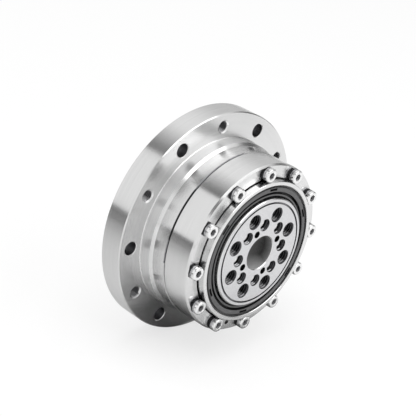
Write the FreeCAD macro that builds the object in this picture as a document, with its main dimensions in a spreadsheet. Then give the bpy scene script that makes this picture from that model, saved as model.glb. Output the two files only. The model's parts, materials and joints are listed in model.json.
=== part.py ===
"""Builds a flanged strain wave gearbox and writes one STEP file for each of its pieces.

Every piece is drawn about the local Z axis, where Z is the station in mm forward of the rear mounting
face, and is then laid over so that the output faces -Y.
"""

import FreeCAD, Part

import math
import os

import Sketcher

from FreeCAD import Placement, Rotation, Vector

DIMENSIONS = {
    "flange_diameter": 93.0,
    "flange_thickness": 10.0,
    "flange_rear_chamfer": 0.5,
    "flange_front_chamfer": 0.4,
    "register_diameter": 72.0,
    "register_end": 15.0,
    "register_foot": 0.3,
    "body_diameter": 70.0,
    "body_step_end": 16.0,
    "seam_station": 22.0,
    "seam_chamfer": 0.3,
    "seam_groove_depth": 0.9,
    "seam_groove_width": 0.6,
    "spline_bore": 53.0,
    "rear_counterbore": 54.0,
    "counterbore_chamfer": 0.3,
    "spigot_diameter": 55.2,
    "spigot_length": 1.5,
    "mount_circle": 82.0,
    "mount_count": 6,
    "through_hole": 5.5,
    "tapped_hole": 4.2,
    "tapped_mouth": 5.6,
    "mouth_angle": 120.0,
    "hole_chamfer": 0.3,
    "o_ring_inner": 56.6,
    "o_ring_outer": 59.0,
    "o_ring_depth": 0.85,
    "ledge_station": 34.2,
    "ledge_edge_diameter": 68.74,
    "ledge_chamfer_length": 0.85,
    "collar_diameter": 58.3,
    "collar_end": 37.35,
    "collar_edge": 0.2,
    "relief_width": 0.9,
    "relief_depth": 1.0,
    "seal_bore": 55.0,
    "seal_floor": 33.5,
    "outer_land": 52.8,
    "inner_land": 51.2,
    "screw_circle": 64.0,
    "screw_count": 12,
    "screw_clearance": 3.4,
    "screw_thread": 3.0,
    "screw_head": 5.5,
    "screw_head_height": 3.0,
    "screw_socket": 2.5,
    "screw_socket_depth": 1.5,
    "screw_length": 20.0,
    "tap_depth": 10.0,
    "raceway_station": 28.0,
    "roller_diameter": 4.0,
    "roller_length": 3.8,
    "roller_circle": 52.0,
    "roller_count": 30,
    "raceway_side": 4.04,
    "raceway_relief": 0.25,
    "spacer_diameter": 3.4,
    "spacer_gap": 0.06,
    "plug_diameter": 4.6,
    "plug_angle": 255.0,
    "plug_pin_diameter": 2.0,
    "plug_pin_circle": 62.8,
    "plug_pin_sink": 0.9,
    "plug_pin_length": 9.0,
    "seal_front": 36.95,
    "seal_step": 53.0,
    "seal_step_drop": 0.35,
    "seal_line_outer": 49.4,
    "seal_line_depth": 0.5,
    "seal_bead_outer": 48.7,
    "seal_bead_inner": 47.4,
    "seal_bead_rise": 0.1,
    "seal_bead_edge": 0.25,
    "seal_lip_front": 35.1,
    "seal_web": 0.7,
    "output_face": 38.0,
    "output_neck": 45.0,
    "output_edge": 0.35,
    "neck_station": 33.2,
    "output_rear": 22.0,
    "output_rear_relief": 0.6,
    "face_groove_outer": 42.1,
    "face_groove_inner": 41.0,
    "face_groove_depth": 0.8,
    "output_bore": 14.0,
    "output_bore_depth": 12.0,
    "output_circle": 32.0,
    "output_count": 8,
    "output_tap": 5.0,
    "output_tap_mouth": 6.2,
    "output_tap_depth": 11.0,
    "cup_screw_circle": 24.0,
    "cup_screw_count": 8,
    "cup_screw_thread": 5.0,
    "cup_screw_hole": 5.3,
    "cup_screw_head": 8.4,
    "cup_screw_head_height": 5.0,
    "cup_screw_socket": 4.0,
    "cup_screw_socket_depth": 2.5,
    "cup_screw_length": 20.0,
    "dowel_circle": 19.2,
    "dowel_count": 4,
    "dowel_diameter": 2.8,
    "dowel_rear": 18.7,
    "dowel_front": 33.0,
    "cup_spigot": 14.3,
    "cup_spigot_end": 19.2,
    "boss_diameter": 32.0,
    "boss_rear": 18.6,
    "clamp_rear": 15.8,
    "diaphragm_rear": 20.7,
    "diaphragm_front": 21.3,
    "cup_wall": 0.4,
    "cup_root_wall": 0.45,
    "cup_rim": 1.6,
    "cup_teeth_end": 11.6,
    "cup_wall_end": 20.0,
    "tooth_module": 0.5,
    "cup_teeth": 100,
    "spline_teeth": 102,
    "spline_teeth_rear": 2.0,
    "spline_teeth_front": 12.0,
    "cup_addendum": 0.33,
    "cup_dedendum": 0.45,
    "spline_addendum": 0.3,
    "spline_dedendum": 0.45,
    "cup_tooth_width": 0.66,
    "tooth_backlash": 0.14,
    "flank_angle": 28.0,
    "cam_rear": 2.2,
    "cam_front": 8.8,
    "cam_bore": 18.4,
    "race_front": 9.0,
    "race_fit": 0.015,
    "outer_race_thickness": 1.02,
    "inner_race_radius": 19.95,
    "inner_race_thickness": 1.25,
    "ball_diameter": 4.0,
    "ball_count": 23,
    "ball_station": 5.6,
    "ball_groove": 2.04,
    "ball_pitch_radius": 21.5,
    "cage_thickness": 1.4,
    "cage_rear": 2.9,
    "cage_front": 7.4,
    "cage_pocket": 2.12,
    "recess_diameter": 30.4,
    "recess_floor": 4.4,
    "jack_hole": 2.1,
    "jack_circle": 34.4,
    "lug_width": 4.0,
    "lug_fit": 0.03,
    "lug_reach": 2.2,
    "lug_inner": 22.0,
    "lug_outer": 29.0,
    "insert_outer": 29.6,
    "insert_inner": 18.8,
    "insert_front": 4.2,
    "insert_slot_depth": 2.1,
    "hub_projection": 7.5,
    "hub_collar_diameter": 21.0,
    "hub_collar_length": 2.5,
    "hub_flange_length": 4.8,
    "hub_tube": 17.0,
    "hub_end": 10.4,
    "hub_edge": 0.4,
    "input_bore": 9.0,
    "key_width": 3.0,
    "key_top": 5.9,
    "set_screw_diameter": 3.0,
    "set_screw_length": 5.5,
    "set_screw_socket": 1.5,
    "washer_rear": 8.85,
    "washer_front": 9.25,
    "washer_outer": 25.0,
    "snap_ring_rear": 9.28,
    "snap_ring_front": 10.08,
    "snap_ring_inner": 16.0,
    "snap_ring_outer": 21.6,
    "snap_ring_opening": 4.0,
    "fit_gap": 0.02,
}

LAID_OVER = Rotation(Vector(1, 0, 0), 90)

document = FreeCAD.newDocument("StrainWaveGearbox")
sheet = document.addObject("Spreadsheet::Sheet", "Sizes")


def fill_sheet():
    """Writes the driving dimensions to the sheet, one alias to a row."""
    for row, (alias, number) in enumerate(DIMENSIONS.items(), start=1):
        sheet.set(f"A{row}", alias)
        sheet.set(f"B{row}", repr(number))
        sheet.setAlias(f"B{row}", alias)
    document.recompute()


def size(text):
    """The value of an expression over the sheet, in mm or as a plain number."""
    found = sheet.evalExpression(text)
    return float(getattr(found, "Value", found))


def origin_plane(body, role):
    """The body's own origin plane with this role."""
    return next(item for item in body.Origin.OriginFeatures if item.Role == role)


def new_body(label, laid_over=True):
    """An empty body, laid over in the shared frame unless another piece is made from it."""
    body = document.addObject("PartDesign::Body", label)
    body.Label = label
    if laid_over:
        body.Placement = Placement(Vector(), LAID_OVER)
    return body


def hold_point(sketch, edge, end, across, along):
    """Ties one end of a sketch line to the sheet: across is its X and along its Y."""
    for kind, axis, text in (("DistanceX", -2, across), ("DistanceY", -1, along)):
        if text == "0":
            sketch.addConstraint(Sketcher.Constraint("PointOnObject", edge, end, axis))
            continue
        index = sketch.addConstraint(Sketcher.Constraint(kind, -1, 1, edge, end, size(text)))
        sketch.setExpression(f"Constraints[{index}]", text)


def outline(body, name, corners, plane="XZ_Plane"):
    """A closed sketch of straight lines through corners given as pairs of expressions."""
    sketch = body.newObject("Sketcher::SketchObject", name)
    sketch.AttachmentSupport = [(origin_plane(body, plane), "")]
    sketch.MapMode = "FlatFace"
    points = [Vector(size(across), size(along), 0) for across, along in corners]
    count = len(points)
    for index, point in enumerate(points):
        sketch.addGeometry(Part.LineSegment(point, points[(index + 1) % count]))
    for index in range(count):
        sketch.addConstraint(Sketcher.Constraint("Coincident", index, 2, (index + 1) % count, 1))
    for index, (across, along) in enumerate(corners):
        hold_point(sketch, index, 1, across, along)
    return sketch


def turned(body, name, corners):
    """Revolves an outline of (radius, station) corners about the axis."""
    sketch = outline(body, name + "_outline", corners)
    feature = body.newObject("PartDesign::Revolution", name)
    feature.Profile = sketch
    feature.ReferenceAxis = (sketch, ["V_Axis"])
    feature.Angle = 360
    document.recompute()
    return feature


def grooved(body, name, corners):
    """Turns a groove of (radius, station) corners out of the body."""
    sketch = outline(body, name + "_outline", corners)
    feature = body.newObject("PartDesign::Groove", name)
    feature.Profile = sketch
    feature.ReferenceAxis = (sketch, ["V_Axis"])
    feature.Angle = 360
    document.recompute()
    return feature


def cross_sketch(body, name, station):
    """An empty sketch square to the axis at a station."""
    sketch = body.newObject("Sketcher::SketchObject", name)
    sketch.AttachmentSupport = [(origin_plane(body, "XY_Plane"), "")]
    sketch.MapMode = "FlatFace"
    sketch.setExpression("AttachmentOffset.Base.z", station)
    return sketch


def round_the_axis(body, feature, sketch, count):
    """Repeats a feature evenly about the axis."""
    pattern = body.newObject("PartDesign::PolarPattern", feature.Name + "_circle")
    pattern.Originals = [feature]
    pattern.Axis = (sketch, ["N_Axis"])
    pattern.Angle = 360
    pattern.setExpression("Occurrences", count)
    body.Tip = pattern
    document.recompute()
    return pattern


def drilled(body, name, circle, count, start_angle, diameter, station, depth, mouth=None, forward=False):
    """A circle of holes drilled from a station, rearward unless asked, with countersunk mouths if asked."""
    sketch = cross_sketch(body, name + "_centre", station)
    angle = math.radians(start_angle)
    radius = size(circle) / 2
    centre = Vector(radius * math.cos(angle), radius * math.sin(angle), 0)
    hole = sketch.addGeometry(Part.Circle(centre, Vector(0, 0, 1), size(diameter) / 2))
    index = sketch.addConstraint(Sketcher.Constraint("Diameter", hole, size(diameter)))
    sketch.setExpression(f"Constraints[{index}]", diameter)
    across = f"{circle} / 2 * cos({start_angle} deg)"
    along = f"{circle} / 2 * sin({start_angle} deg)"
    hold_point(sketch, hole, 3, across, "0" if start_angle == 0 else along)
    document.recompute()
    feature = body.newObject("PartDesign::Hole", name)
    feature.Profile = sketch
    feature.ThreadType = "None"
    feature.DepthType = "Dimension"
    feature.DrillPoint = "Flat"
    feature.Reversed = forward
    feature.setExpression("Diameter", diameter)
    feature.setExpression("Depth", depth)
    if mouth:
        feature.HoleCutType = "Countersink"
        feature.HoleCutCustomValues = True
        feature.setExpression("HoleCutCountersinkAngle", "Sizes.mouth_angle * 1 deg")
        feature.setExpression("HoleCutDiameter", mouth)
    document.recompute()
    if count:
        round_the_axis(body, feature, sketch, count)


def socketed(body, name, across_flats, station, depth):
    """A hexagon socket on the axis, sunk towards the rear from a station."""
    sketch = cross_sketch(body, name + "_hexagon", station)
    reach = size(across_flats) / math.sqrt(3)
    corners = [
        Vector(reach * math.cos(math.radians(60 * k)), reach * math.sin(math.radians(60 * k)), 0)
        for k in range(6)
    ]
    for k, corner in enumerate(corners):
        sketch.addGeometry(Part.LineSegment(corner, corners[(k + 1) % 6]))
    for k in range(6):
        sketch.addConstraint(Sketcher.Constraint("Coincident", k, 2, (k + 1) % 6, 1))
        turn = 60 * k
        across = f"{across_flats} / sqrt(3) * cos({turn} deg)"
        along = "0" if k in (0, 3) else f"{across_flats} / sqrt(3) * sin({turn} deg)"
        hold_point(sketch, k, 1, across, along)
    feature = body.newObject("PartDesign::Pocket", name)
    feature.Profile = sketch
    feature.setExpression("Length", depth)
    document.recompute()
    return feature


def built(label, shape):
    """A piece whose shape is made from the sheet's sizes here, laid over in the shared frame."""
    item = document.addObject("Part::Feature", label)
    item.Label = label
    item.Shape = shape
    item.Placement = Placement(Vector(), LAID_OVER)
    return item


def copies_about_axis(shape, count, start_angle=0.0):
    """Copies of a shape evenly about the local Z axis."""
    placed = []
    for index in range(count):
        copy = shape.copy()
        copy.rotate(Vector(), Vector(0, 0, 1), start_angle + 360.0 * index / count)
        placed.append(copy)
    return placed


def cut_from(label, base, tool):
    """What is left of one object after another is cut from it, laid over in the shared frame."""
    item = document.addObject("Part::Cut", label)
    item.Label = label
    item.Base = base
    item.Tool = tool
    item.Placement = Placement(Vector(), LAID_OVER)
    return item


def round_bar(name, diameter, length):
    """A round bar along its own Z axis."""
    bar = document.addObject("Part::Cylinder", name)
    bar.setExpression("Radius", f"({diameter}) / 2")
    bar.setExpression("Height", length)
    return bar


def prism(points, rear, front):
    """A straight solid with the closed outline through points, between two stations."""
    loop = Part.makePolygon([*points, points[0]])
    face = Part.Face(loop)
    face.translate(Vector(0, 0, rear))
    return face.extrude(Vector(0, 0, front - rear))


def ellipse_wire(mean_radius, swell, station):
    """An ellipse whose half axes are the mean radius plus and minus the swell."""
    curve = Part.Ellipse(Vector(0, 0, station), mean_radius + swell, mean_radius - swell)
    return Part.Wire(curve.toShape())


def elliptic_disc(mean_radius, swell, rear, front):
    """A straight elliptic disc between two stations."""
    return Part.Face(ellipse_wire(mean_radius, swell, rear)).extrude(Vector(0, 0, front - rear))


def deflection():
    """How far the wave generator pushes the cup out at its long axis: half the pitch difference."""
    return size("Sizes.tooth_module * (Sizes.spline_teeth - Sizes.cup_teeth) / 2")


def cup_point(arc_angle, height):
    """A point of the pushed-out cup, at an angle of the round cup and a height over its pitch line."""
    pitch = size("Sizes.tooth_module * Sizes.cup_teeth / 2")
    swell = deflection()
    angle = arc_angle - swell / (2 * pitch) * math.sin(2 * arc_angle)
    radius = pitch + height + swell * math.cos(2 * arc_angle)
    return Vector(radius * math.cos(angle), radius * math.sin(angle), 0)


def cup_tooth_points():
    """The outline of the cup's outer teeth, four corners to a tooth."""
    pitch = size("Sizes.tooth_module * Sizes.cup_teeth / 2")
    count = int(size("Sizes.cup_teeth"))
    slope = math.tan(math.radians(size("Sizes.flank_angle")))
    tip = size("Sizes.cup_addendum")
    root = size("Sizes.cup_dedendum")
    half = size("Sizes.cup_tooth_width") / 2
    corners = (
        (-half - root * slope, -root),
        (-half + tip * slope, tip),
        (half - tip * slope, tip),
        (half + root * slope, -root),
    )
    points = []
    for tooth in range(count):
        middle = 2 * math.pi * tooth / count
        points += [cup_point(middle + along / pitch, height) for along, height in corners]
    return points


def spline_space_points():
    """The outline of the spaces between the fixed inner teeth, four corners to a space."""
    pitch = size("Sizes.tooth_module * Sizes.spline_teeth / 2")
    count = int(size("Sizes.spline_teeth"))
    slope = math.tan(math.radians(size("Sizes.flank_angle")))
    tip = size("Sizes.spline_addendum")
    root = size("Sizes.spline_dedendum")
    half = size("(Sizes.cup_tooth_width + Sizes.tooth_backlash) / 2")
    corners = (
        (-half - tip * slope, -tip),
        (-half + root * slope, root),
        (half - root * slope, root),
        (half + tip * slope, -tip),
    )
    points = []
    for space in range(count):
        middle = 2 * math.pi * space / count
        for along, height in corners:
            angle = middle + along / pitch
            radius = pitch + height
            points.append(Vector(radius * math.cos(angle), radius * math.sin(angle), 0))
    return points


def circular_spline():
    """The mounting flange and rear half of the body, with the fixed inner teeth."""
    body = new_body("spline_blank", laid_over=False)
    turned(body, "spline_turning", [
        ("Sizes.rear_counterbore / 2", "Sizes.counterbore_chamfer"),
        ("Sizes.rear_counterbore / 2 + Sizes.counterbore_chamfer", "0"),
        ("Sizes.flange_diameter / 2 - Sizes.flange_rear_chamfer", "0"),
        ("Sizes.flange_diameter / 2", "Sizes.flange_rear_chamfer"),
        ("Sizes.flange_diameter / 2", "Sizes.flange_thickness - Sizes.flange_front_chamfer"),
        ("Sizes.flange_diameter / 2 - Sizes.flange_front_chamfer", "Sizes.flange_thickness"),
        ("Sizes.register_diameter / 2 + Sizes.register_foot", "Sizes.flange_thickness"),
        ("Sizes.register_diameter / 2", "Sizes.flange_thickness + Sizes.register_foot"),
        ("Sizes.register_diameter / 2", "Sizes.register_end"),
        ("Sizes.body_diameter / 2", "Sizes.body_step_end"),
        ("Sizes.body_diameter / 2", "Sizes.seam_station - Sizes.seam_chamfer"),
        ("Sizes.body_diameter / 2 - Sizes.seam_chamfer", "Sizes.seam_station"),
        ("Sizes.spigot_diameter / 2", "Sizes.seam_station"),
        ("Sizes.spigot_diameter / 2", "Sizes.seam_station + Sizes.spigot_length"),
        ("Sizes.spline_bore / 2", "Sizes.seam_station + Sizes.spigot_length"),
        ("Sizes.spline_bore / 2", "Sizes.spline_teeth_front"),
        ("Sizes.tooth_module * Sizes.spline_teeth / 2 - 1", "Sizes.spline_teeth_front"),
        ("Sizes.tooth_module * Sizes.spline_teeth / 2 - 1", "Sizes.spline_teeth_rear"),
        ("Sizes.rear_counterbore / 2", "Sizes.spline_teeth_rear"),
    ])
    grooved(body, "o_ring_groove", [
        ("Sizes.o_ring_inner / 2", "Sizes.seam_station"),
        ("Sizes.o_ring_outer / 2", "Sizes.seam_station"),
        ("Sizes.o_ring_outer / 2", "Sizes.seam_station - Sizes.o_ring_depth"),
        ("Sizes.o_ring_inner / 2", "Sizes.seam_station - Sizes.o_ring_depth"),
    ])
    drilled(body, "mount_holes", "Sizes.mount_circle", "Sizes.mount_count", 0, "Sizes.through_hole",
            "Sizes.flange_thickness", "Sizes.flange_thickness + 1",
            "Sizes.through_hole + 2 * Sizes.hole_chamfer")
    drilled(body, "mount_taps", "Sizes.mount_circle", "Sizes.mount_count", 30, "Sizes.tapped_hole",
            "Sizes.flange_thickness", "Sizes.flange_thickness + 1", "Sizes.tapped_mouth")
    drilled(body, "mount_hole_rears", "Sizes.mount_circle", "Sizes.mount_count", 0, "Sizes.through_hole",
            "0 mm", "2 * Sizes.hole_chamfer", "Sizes.through_hole + 2 * Sizes.hole_chamfer", True)
    drilled(body, "mount_tap_rears", "Sizes.mount_circle", "Sizes.mount_count", 30, "Sizes.tapped_hole",
            "0 mm", "2 * Sizes.hole_chamfer", "Sizes.tapped_mouth", True)
    drilled(body, "screw_taps", "Sizes.screw_circle", "Sizes.screw_count", 0,
            "Sizes.screw_thread + 2 * Sizes.fit_gap", "Sizes.seam_station", "Sizes.tap_depth")
    spaces = document.addObject("Part::Feature", "spline_tooth_spaces")
    spaces.Shape = prism(
        spline_space_points(),
        size("Sizes.spline_teeth_rear - 0.5"),
        size("Sizes.spline_teeth_front + 0.5"),
    )
    return cut_from("circular_spline", body, spaces)


def radial_placement(angle_deg, radius, station):
    """Lays a bar's own axis along a radius, with its foot at a radius and station."""
    angle = math.radians(angle_deg)
    outward = Vector(math.cos(angle), math.sin(angle), 0)
    return Placement(outward * radius + Vector(0, 0, station), Rotation(Vector(0, 0, 1), outward))


def bearing_outer_ring():
    """The front half of the body and the plug that closes its filling hole."""
    body = new_body("outer_ring_blank", laid_over=False)
    half_v = "Sizes.raceway_side / sqrt(2)"
    land_half = f"{half_v} - Sizes.outer_land / 2 + Sizes.roller_circle / 2"
    relief_mouth = f"Sizes.roller_circle / 2 + {half_v} - Sizes.raceway_relief"
    relief_floor = f"Sizes.roller_circle / 2 + {half_v} + Sizes.raceway_relief / 2"
    seat = "Sizes.spigot_diameter / 2 + Sizes.fit_gap"
    turned(body, "outer_ring_turning", [
        (seat, "Sizes.seam_station"),
        ("Sizes.body_diameter / 2 - Sizes.seam_groove_depth", "Sizes.seam_station"),
        ("Sizes.body_diameter / 2 - Sizes.seam_groove_depth", "Sizes.seam_station + Sizes.seam_groove_width"),
        ("Sizes.body_diameter / 2", "Sizes.seam_station + Sizes.seam_groove_width"),
        ("Sizes.body_diameter / 2", "Sizes.ledge_station - Sizes.ledge_chamfer_length"),
        ("Sizes.ledge_edge_diameter / 2", "Sizes.ledge_station"),
        ("Sizes.collar_diameter / 2 + Sizes.relief_width", "Sizes.ledge_station"),
        ("Sizes.collar_diameter / 2 + Sizes.relief_width", "Sizes.ledge_station - Sizes.relief_depth"),
        ("Sizes.collar_diameter / 2", "Sizes.ledge_station - Sizes.relief_depth"),
        ("Sizes.collar_diameter / 2", "Sizes.collar_end - Sizes.collar_edge"),
        ("Sizes.collar_diameter / 2 - Sizes.collar_edge", "Sizes.collar_end"),
        ("Sizes.seal_bore / 2 + Sizes.collar_edge", "Sizes.collar_end"),
        ("Sizes.seal_bore / 2", "Sizes.collar_end - Sizes.collar_edge"),
        ("Sizes.seal_bore / 2", "Sizes.seal_floor"),
        ("Sizes.outer_land / 2", "Sizes.seal_floor"),
        ("Sizes.outer_land / 2", f"Sizes.raceway_station + {land_half}"),
        (relief_mouth, "Sizes.raceway_station + Sizes.raceway_relief"),
        (relief_floor, "Sizes.raceway_station + Sizes.raceway_relief"),
        (relief_floor, "Sizes.raceway_station - Sizes.raceway_relief"),
        (relief_mouth, "Sizes.raceway_station - Sizes.raceway_relief"),
        ("Sizes.outer_land / 2", f"Sizes.raceway_station - ({land_half})"),
        ("Sizes.outer_land / 2", "Sizes.seam_station + Sizes.spigot_length + 0.3"),
        (seat, "Sizes.seam_station + Sizes.spigot_length + 0.3"),
    ])
    drilled(body, "screw_holes", "Sizes.screw_circle", "Sizes.screw_count", 0, "Sizes.screw_clearance",
            "Sizes.ledge_station", "Sizes.ledge_station - Sizes.seam_station + 1")
    drilled(body, "plug_pin_hole", "Sizes.plug_pin_circle", None, size("Sizes.plug_angle"),
            "Sizes.plug_pin_diameter", "Sizes.ledge_station", "Sizes.plug_pin_sink + Sizes.plug_pin_length")
    at = radial_placement(
        size("Sizes.plug_angle"), size("Sizes.outer_land / 2 - 1"), size("Sizes.raceway_station")
    )
    hole = round_bar("plug_hole", "Sizes.plug_diameter", "Sizes.body_diameter / 2 - Sizes.outer_land / 2 + 3")
    hole.Placement = at
    ring = cut_from("bearing_outer_ring", body, hole)
    bar = round_bar("plug_bar", "Sizes.plug_diameter - 2 * Sizes.fit_gap",
                    "Sizes.body_diameter / 2 - Sizes.outer_land / 2 + 3")
    bar.Placement = at
    plug = document.addObject("Part::Common", "roller_plug")
    plug.Label = "roller_plug"
    plug.Base = body
    plug.Tool = bar
    plug.Placement = Placement(Vector(), LAID_OVER)
    return [ring, plug]


def plug_pin():
    """The pin that keeps the filling plug in place."""
    pin = round_bar("roller_plug_pin", "Sizes.plug_pin_diameter - 2 * Sizes.fit_gap", "Sizes.plug_pin_length")
    angle = math.radians(size("Sizes.plug_angle"))
    radius = size("Sizes.plug_pin_circle / 2")
    foot = Vector(radius * math.cos(angle), radius * math.sin(angle),
                  size("Sizes.ledge_station - Sizes.plug_pin_sink - Sizes.plug_pin_length"))
    pin.Placement = Placement(LAID_OVER.multVec(foot), LAID_OVER)
    pin.Label = "roller_plug_pin"
    return pin


def body_o_ring():
    """The ring in the groove of the seam between the two halves of the body."""
    ring = document.addObject("Part::Torus", "body_o_ring")
    ring.Label = "body_o_ring"
    ring.setExpression("Radius1", "(Sizes.o_ring_inner + Sizes.o_ring_outer) / 4")
    ring.setExpression("Radius2", "Sizes.o_ring_depth / 2 - Sizes.fit_gap / 2")
    station = size("Sizes.seam_station - Sizes.o_ring_depth / 2")
    ring.Placement = Placement(Vector(0, -station, 0), LAID_OVER)
    return ring


def socket_screw(label, prefix):
    """A socket head screw on the local axis, with its tip at station 0 and its head at the front."""
    body = new_body(label, laid_over=False)
    thread = f"Sizes.{prefix}_thread / 2"
    length = f"Sizes.{prefix}_length"
    top = f"{length} + Sizes.{prefix}_head_height"
    head = f"Sizes.{prefix}_head / 2"
    turned(body, label + "_turning", [
        ("0", "0"),
        (f"{thread} - {thread} / 5", "0"),
        (thread, f"{thread} / 5"),
        (thread, length),
        (head, length),
        (head, f"{top} - {head} / 9"),
        (f"{head} - {head} / 9", top),
        ("0", top),
    ])
    socketed(body, label + "_socket", f"Sizes.{prefix}_socket", top, f"Sizes.{prefix}_socket_depth")
    return body


def ring_screws():
    """The screws that join the two halves of the body, each turned a different way."""
    screw = socket_screw("ring_screw", "screw")
    count = int(size("Sizes.screw_count"))
    at = Vector(size("Sizes.screw_circle / 2"), 0, size("Sizes.ledge_station - Sizes.screw_length"))
    placed = []
    for index in range(count):
        copy = screw.Shape.copy()
        copy.rotate(Vector(), Vector(0, 0, 1), 23.0 * index)
        copy.translate(at)
        copy.rotate(Vector(), Vector(0, 0, 1), 360.0 * index / count)
        placed.append(copy)
    return built("ring_screws", Part.makeCompound(placed))


def output_seal():
    """The rubber seal between the collar and the turning output flange."""
    body = new_body("output_seal")
    wall = "Sizes.seal_bore / 2 - Sizes.fit_gap"
    shaft = "Sizes.output_neck / 2 + 0.03"
    turned(body, "seal_section", [
        (wall, "Sizes.seal_floor + 0.05"),
        (wall, "Sizes.seal_front - Sizes.seal_step_drop"),
        ("Sizes.seal_step / 2", "Sizes.seal_front - Sizes.seal_step_drop"),
        ("Sizes.seal_step / 2", "Sizes.seal_front"),
        ("Sizes.seal_line_outer / 2", "Sizes.seal_front"),
        ("Sizes.seal_line_outer / 2", "Sizes.seal_front - Sizes.seal_line_depth"),
        ("Sizes.seal_bead_outer / 2", "Sizes.seal_front - Sizes.seal_line_depth"),
        ("Sizes.seal_bead_outer / 2", "Sizes.seal_front + Sizes.seal_bead_rise - Sizes.seal_bead_edge"),
        ("Sizes.seal_bead_outer / 2 - Sizes.seal_bead_edge", "Sizes.seal_front + Sizes.seal_bead_rise"),
        ("Sizes.seal_bead_inner / 2 + Sizes.seal_bead_edge", "Sizes.seal_front + Sizes.seal_bead_rise"),
        ("Sizes.seal_bead_inner / 2", "Sizes.seal_front + Sizes.seal_bead_rise - Sizes.seal_bead_edge"),
        ("Sizes.seal_bead_inner / 2", "Sizes.seal_lip_front"),
        (f"{shaft} + 0.3", "Sizes.seal_lip_front"),
        (shaft, "Sizes.seal_lip_front - 0.45"),
        (f"{shaft} + 0.5", "Sizes.seal_lip_front - Sizes.seal_web - 0.3"),
        (f"{shaft} + 1.1", "Sizes.seal_lip_front - Sizes.seal_web"),
        (f"{wall} - 1.0", "Sizes.seal_lip_front - Sizes.seal_web"),
        (f"{wall} - 1.0", "Sizes.seal_floor + 0.05"),
    ])
    return body


def bearing_rollers():
    """The crossed rollers, whose axes lean forward and back in turn, and the spacers between them."""
    count = int(size("Sizes.roller_count"))
    centre = Vector(size("Sizes.roller_circle / 2"), 0, size("Sizes.raceway_station"))
    step = 360.0 / count
    leans = (Vector(1, 0, 1).normalize(), Vector(1, 0, -1).normalize())

    def lying_bar(radius, length, axis, turn):
        bar = Part.makeCylinder(radius, length, centre - axis * (length / 2), axis)
        bar.rotate(Vector(), Vector(0, 0, 1), turn)
        return bar

    radius = size("Sizes.roller_diameter / 2")
    length = size("Sizes.roller_length")
    rollers = [lying_bar(radius, length, leans[index % 2], index * step) for index in range(count)]
    saddle = radius + size("Sizes.spacer_gap")
    spacers = []
    for index in range(count):
        turn = (index + 0.5) * step
        blank = lying_bar(size("Sizes.spacer_diameter / 2"), 0.8 * radius * 2, Vector(0, 1, 0), turn)
        before = lying_bar(saddle, 3 * length, leans[index % 2], turn - step / 2)
        after = lying_bar(saddle, 3 * length, leans[(index + 1) % 2], turn + step / 2)
        spacers.append(blank.cut([before, after]))
    return [
        built("crossed_rollers", Part.makeCompound(rollers)),
        built("roller_spacers", Part.makeCompound(spacers)),
    ]


def output_flange():
    """The output disc, which is also the inner ring of the bearing."""
    body = new_body("output_flange")
    half_v = "Sizes.raceway_side / sqrt(2)"
    land_half = f"{half_v} - Sizes.roller_circle / 2 + Sizes.inner_land / 2"
    relief_mouth = f"Sizes.roller_circle / 2 - {half_v} + Sizes.raceway_relief"
    relief_floor = f"Sizes.roller_circle / 2 - {half_v} - Sizes.raceway_relief / 2"
    face = "Sizes.output_face"
    turned(body, "output_turning", [
        ("0", "Sizes.cup_spigot_end"),
        ("Sizes.cup_spigot / 2", "Sizes.cup_spigot_end"),
        ("Sizes.cup_spigot / 2", "Sizes.output_rear"),
        ("Sizes.boss_diameter / 2 + 0.5", "Sizes.output_rear"),
        ("Sizes.boss_diameter / 2 + 0.5", "Sizes.output_rear + Sizes.output_rear_relief"),
        ("Sizes.inner_land / 2", "Sizes.output_rear + Sizes.output_rear_relief"),
        ("Sizes.inner_land / 2", f"Sizes.raceway_station - ({land_half})"),
        (relief_mouth, "Sizes.raceway_station - Sizes.raceway_relief"),
        (relief_floor, "Sizes.raceway_station - Sizes.raceway_relief"),
        (relief_floor, "Sizes.raceway_station + Sizes.raceway_relief"),
        (relief_mouth, "Sizes.raceway_station + Sizes.raceway_relief"),
        ("Sizes.inner_land / 2", f"Sizes.raceway_station + {land_half}"),
        ("Sizes.inner_land / 2", "Sizes.neck_station"),
        ("Sizes.output_neck / 2", "Sizes.neck_station"),
        ("Sizes.output_neck / 2", f"{face} - Sizes.output_edge"),
        ("Sizes.output_neck / 2 - Sizes.output_edge", face),
        ("Sizes.face_groove_outer / 2", face),
        ("Sizes.face_groove_outer / 2", f"{face} - Sizes.face_groove_depth"),
        ("Sizes.face_groove_inner / 2", f"{face} - Sizes.face_groove_depth"),
        ("Sizes.face_groove_inner / 2", face),
        ("Sizes.output_bore / 2 + Sizes.hole_chamfer", face),
        ("Sizes.output_bore / 2", f"{face} - Sizes.hole_chamfer"),
        ("Sizes.output_bore / 2", f"{face} - Sizes.output_bore_depth"),
        ("0", f"{face} - Sizes.output_bore_depth"),
    ])
    through = f"{face} - Sizes.output_rear + 1"
    drilled(body, "output_taps", "Sizes.output_circle", "Sizes.output_count", 22.5, "Sizes.output_tap",
            face, "Sizes.output_tap_depth", "Sizes.output_tap_mouth")
    drilled(body, "cup_screw_taps", "Sizes.cup_screw_circle", "Sizes.cup_screw_count", 0,
            "Sizes.cup_screw_thread + 2 * Sizes.fit_gap", face, through)
    drilled(body, "dowel_holes", "Sizes.dowel_circle", "Sizes.dowel_count", 22.5,
            "Sizes.dowel_diameter + 2 * Sizes.fit_gap", face, through)
    return body


def cup_holes(rear, front):
    """Bars that cut the screw and dowel holes through the boss of the cup."""
    depth = front - rear
    screw = Part.makeCylinder(
        size("Sizes.cup_screw_hole / 2"), depth, Vector(size("Sizes.cup_screw_circle / 2"), 0, rear)
    )
    dowel = Part.makeCylinder(
        size("Sizes.dowel_diameter / 2 + Sizes.fit_gap"),
        depth,
        Vector(size("Sizes.dowel_circle / 2"), 0, rear),
    )
    screws = copies_about_axis(screw, int(size("Sizes.cup_screw_count")))
    dowels = copies_about_axis(dowel, int(size("Sizes.dowel_count")), 22.5)
    return screws + dowels


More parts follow.
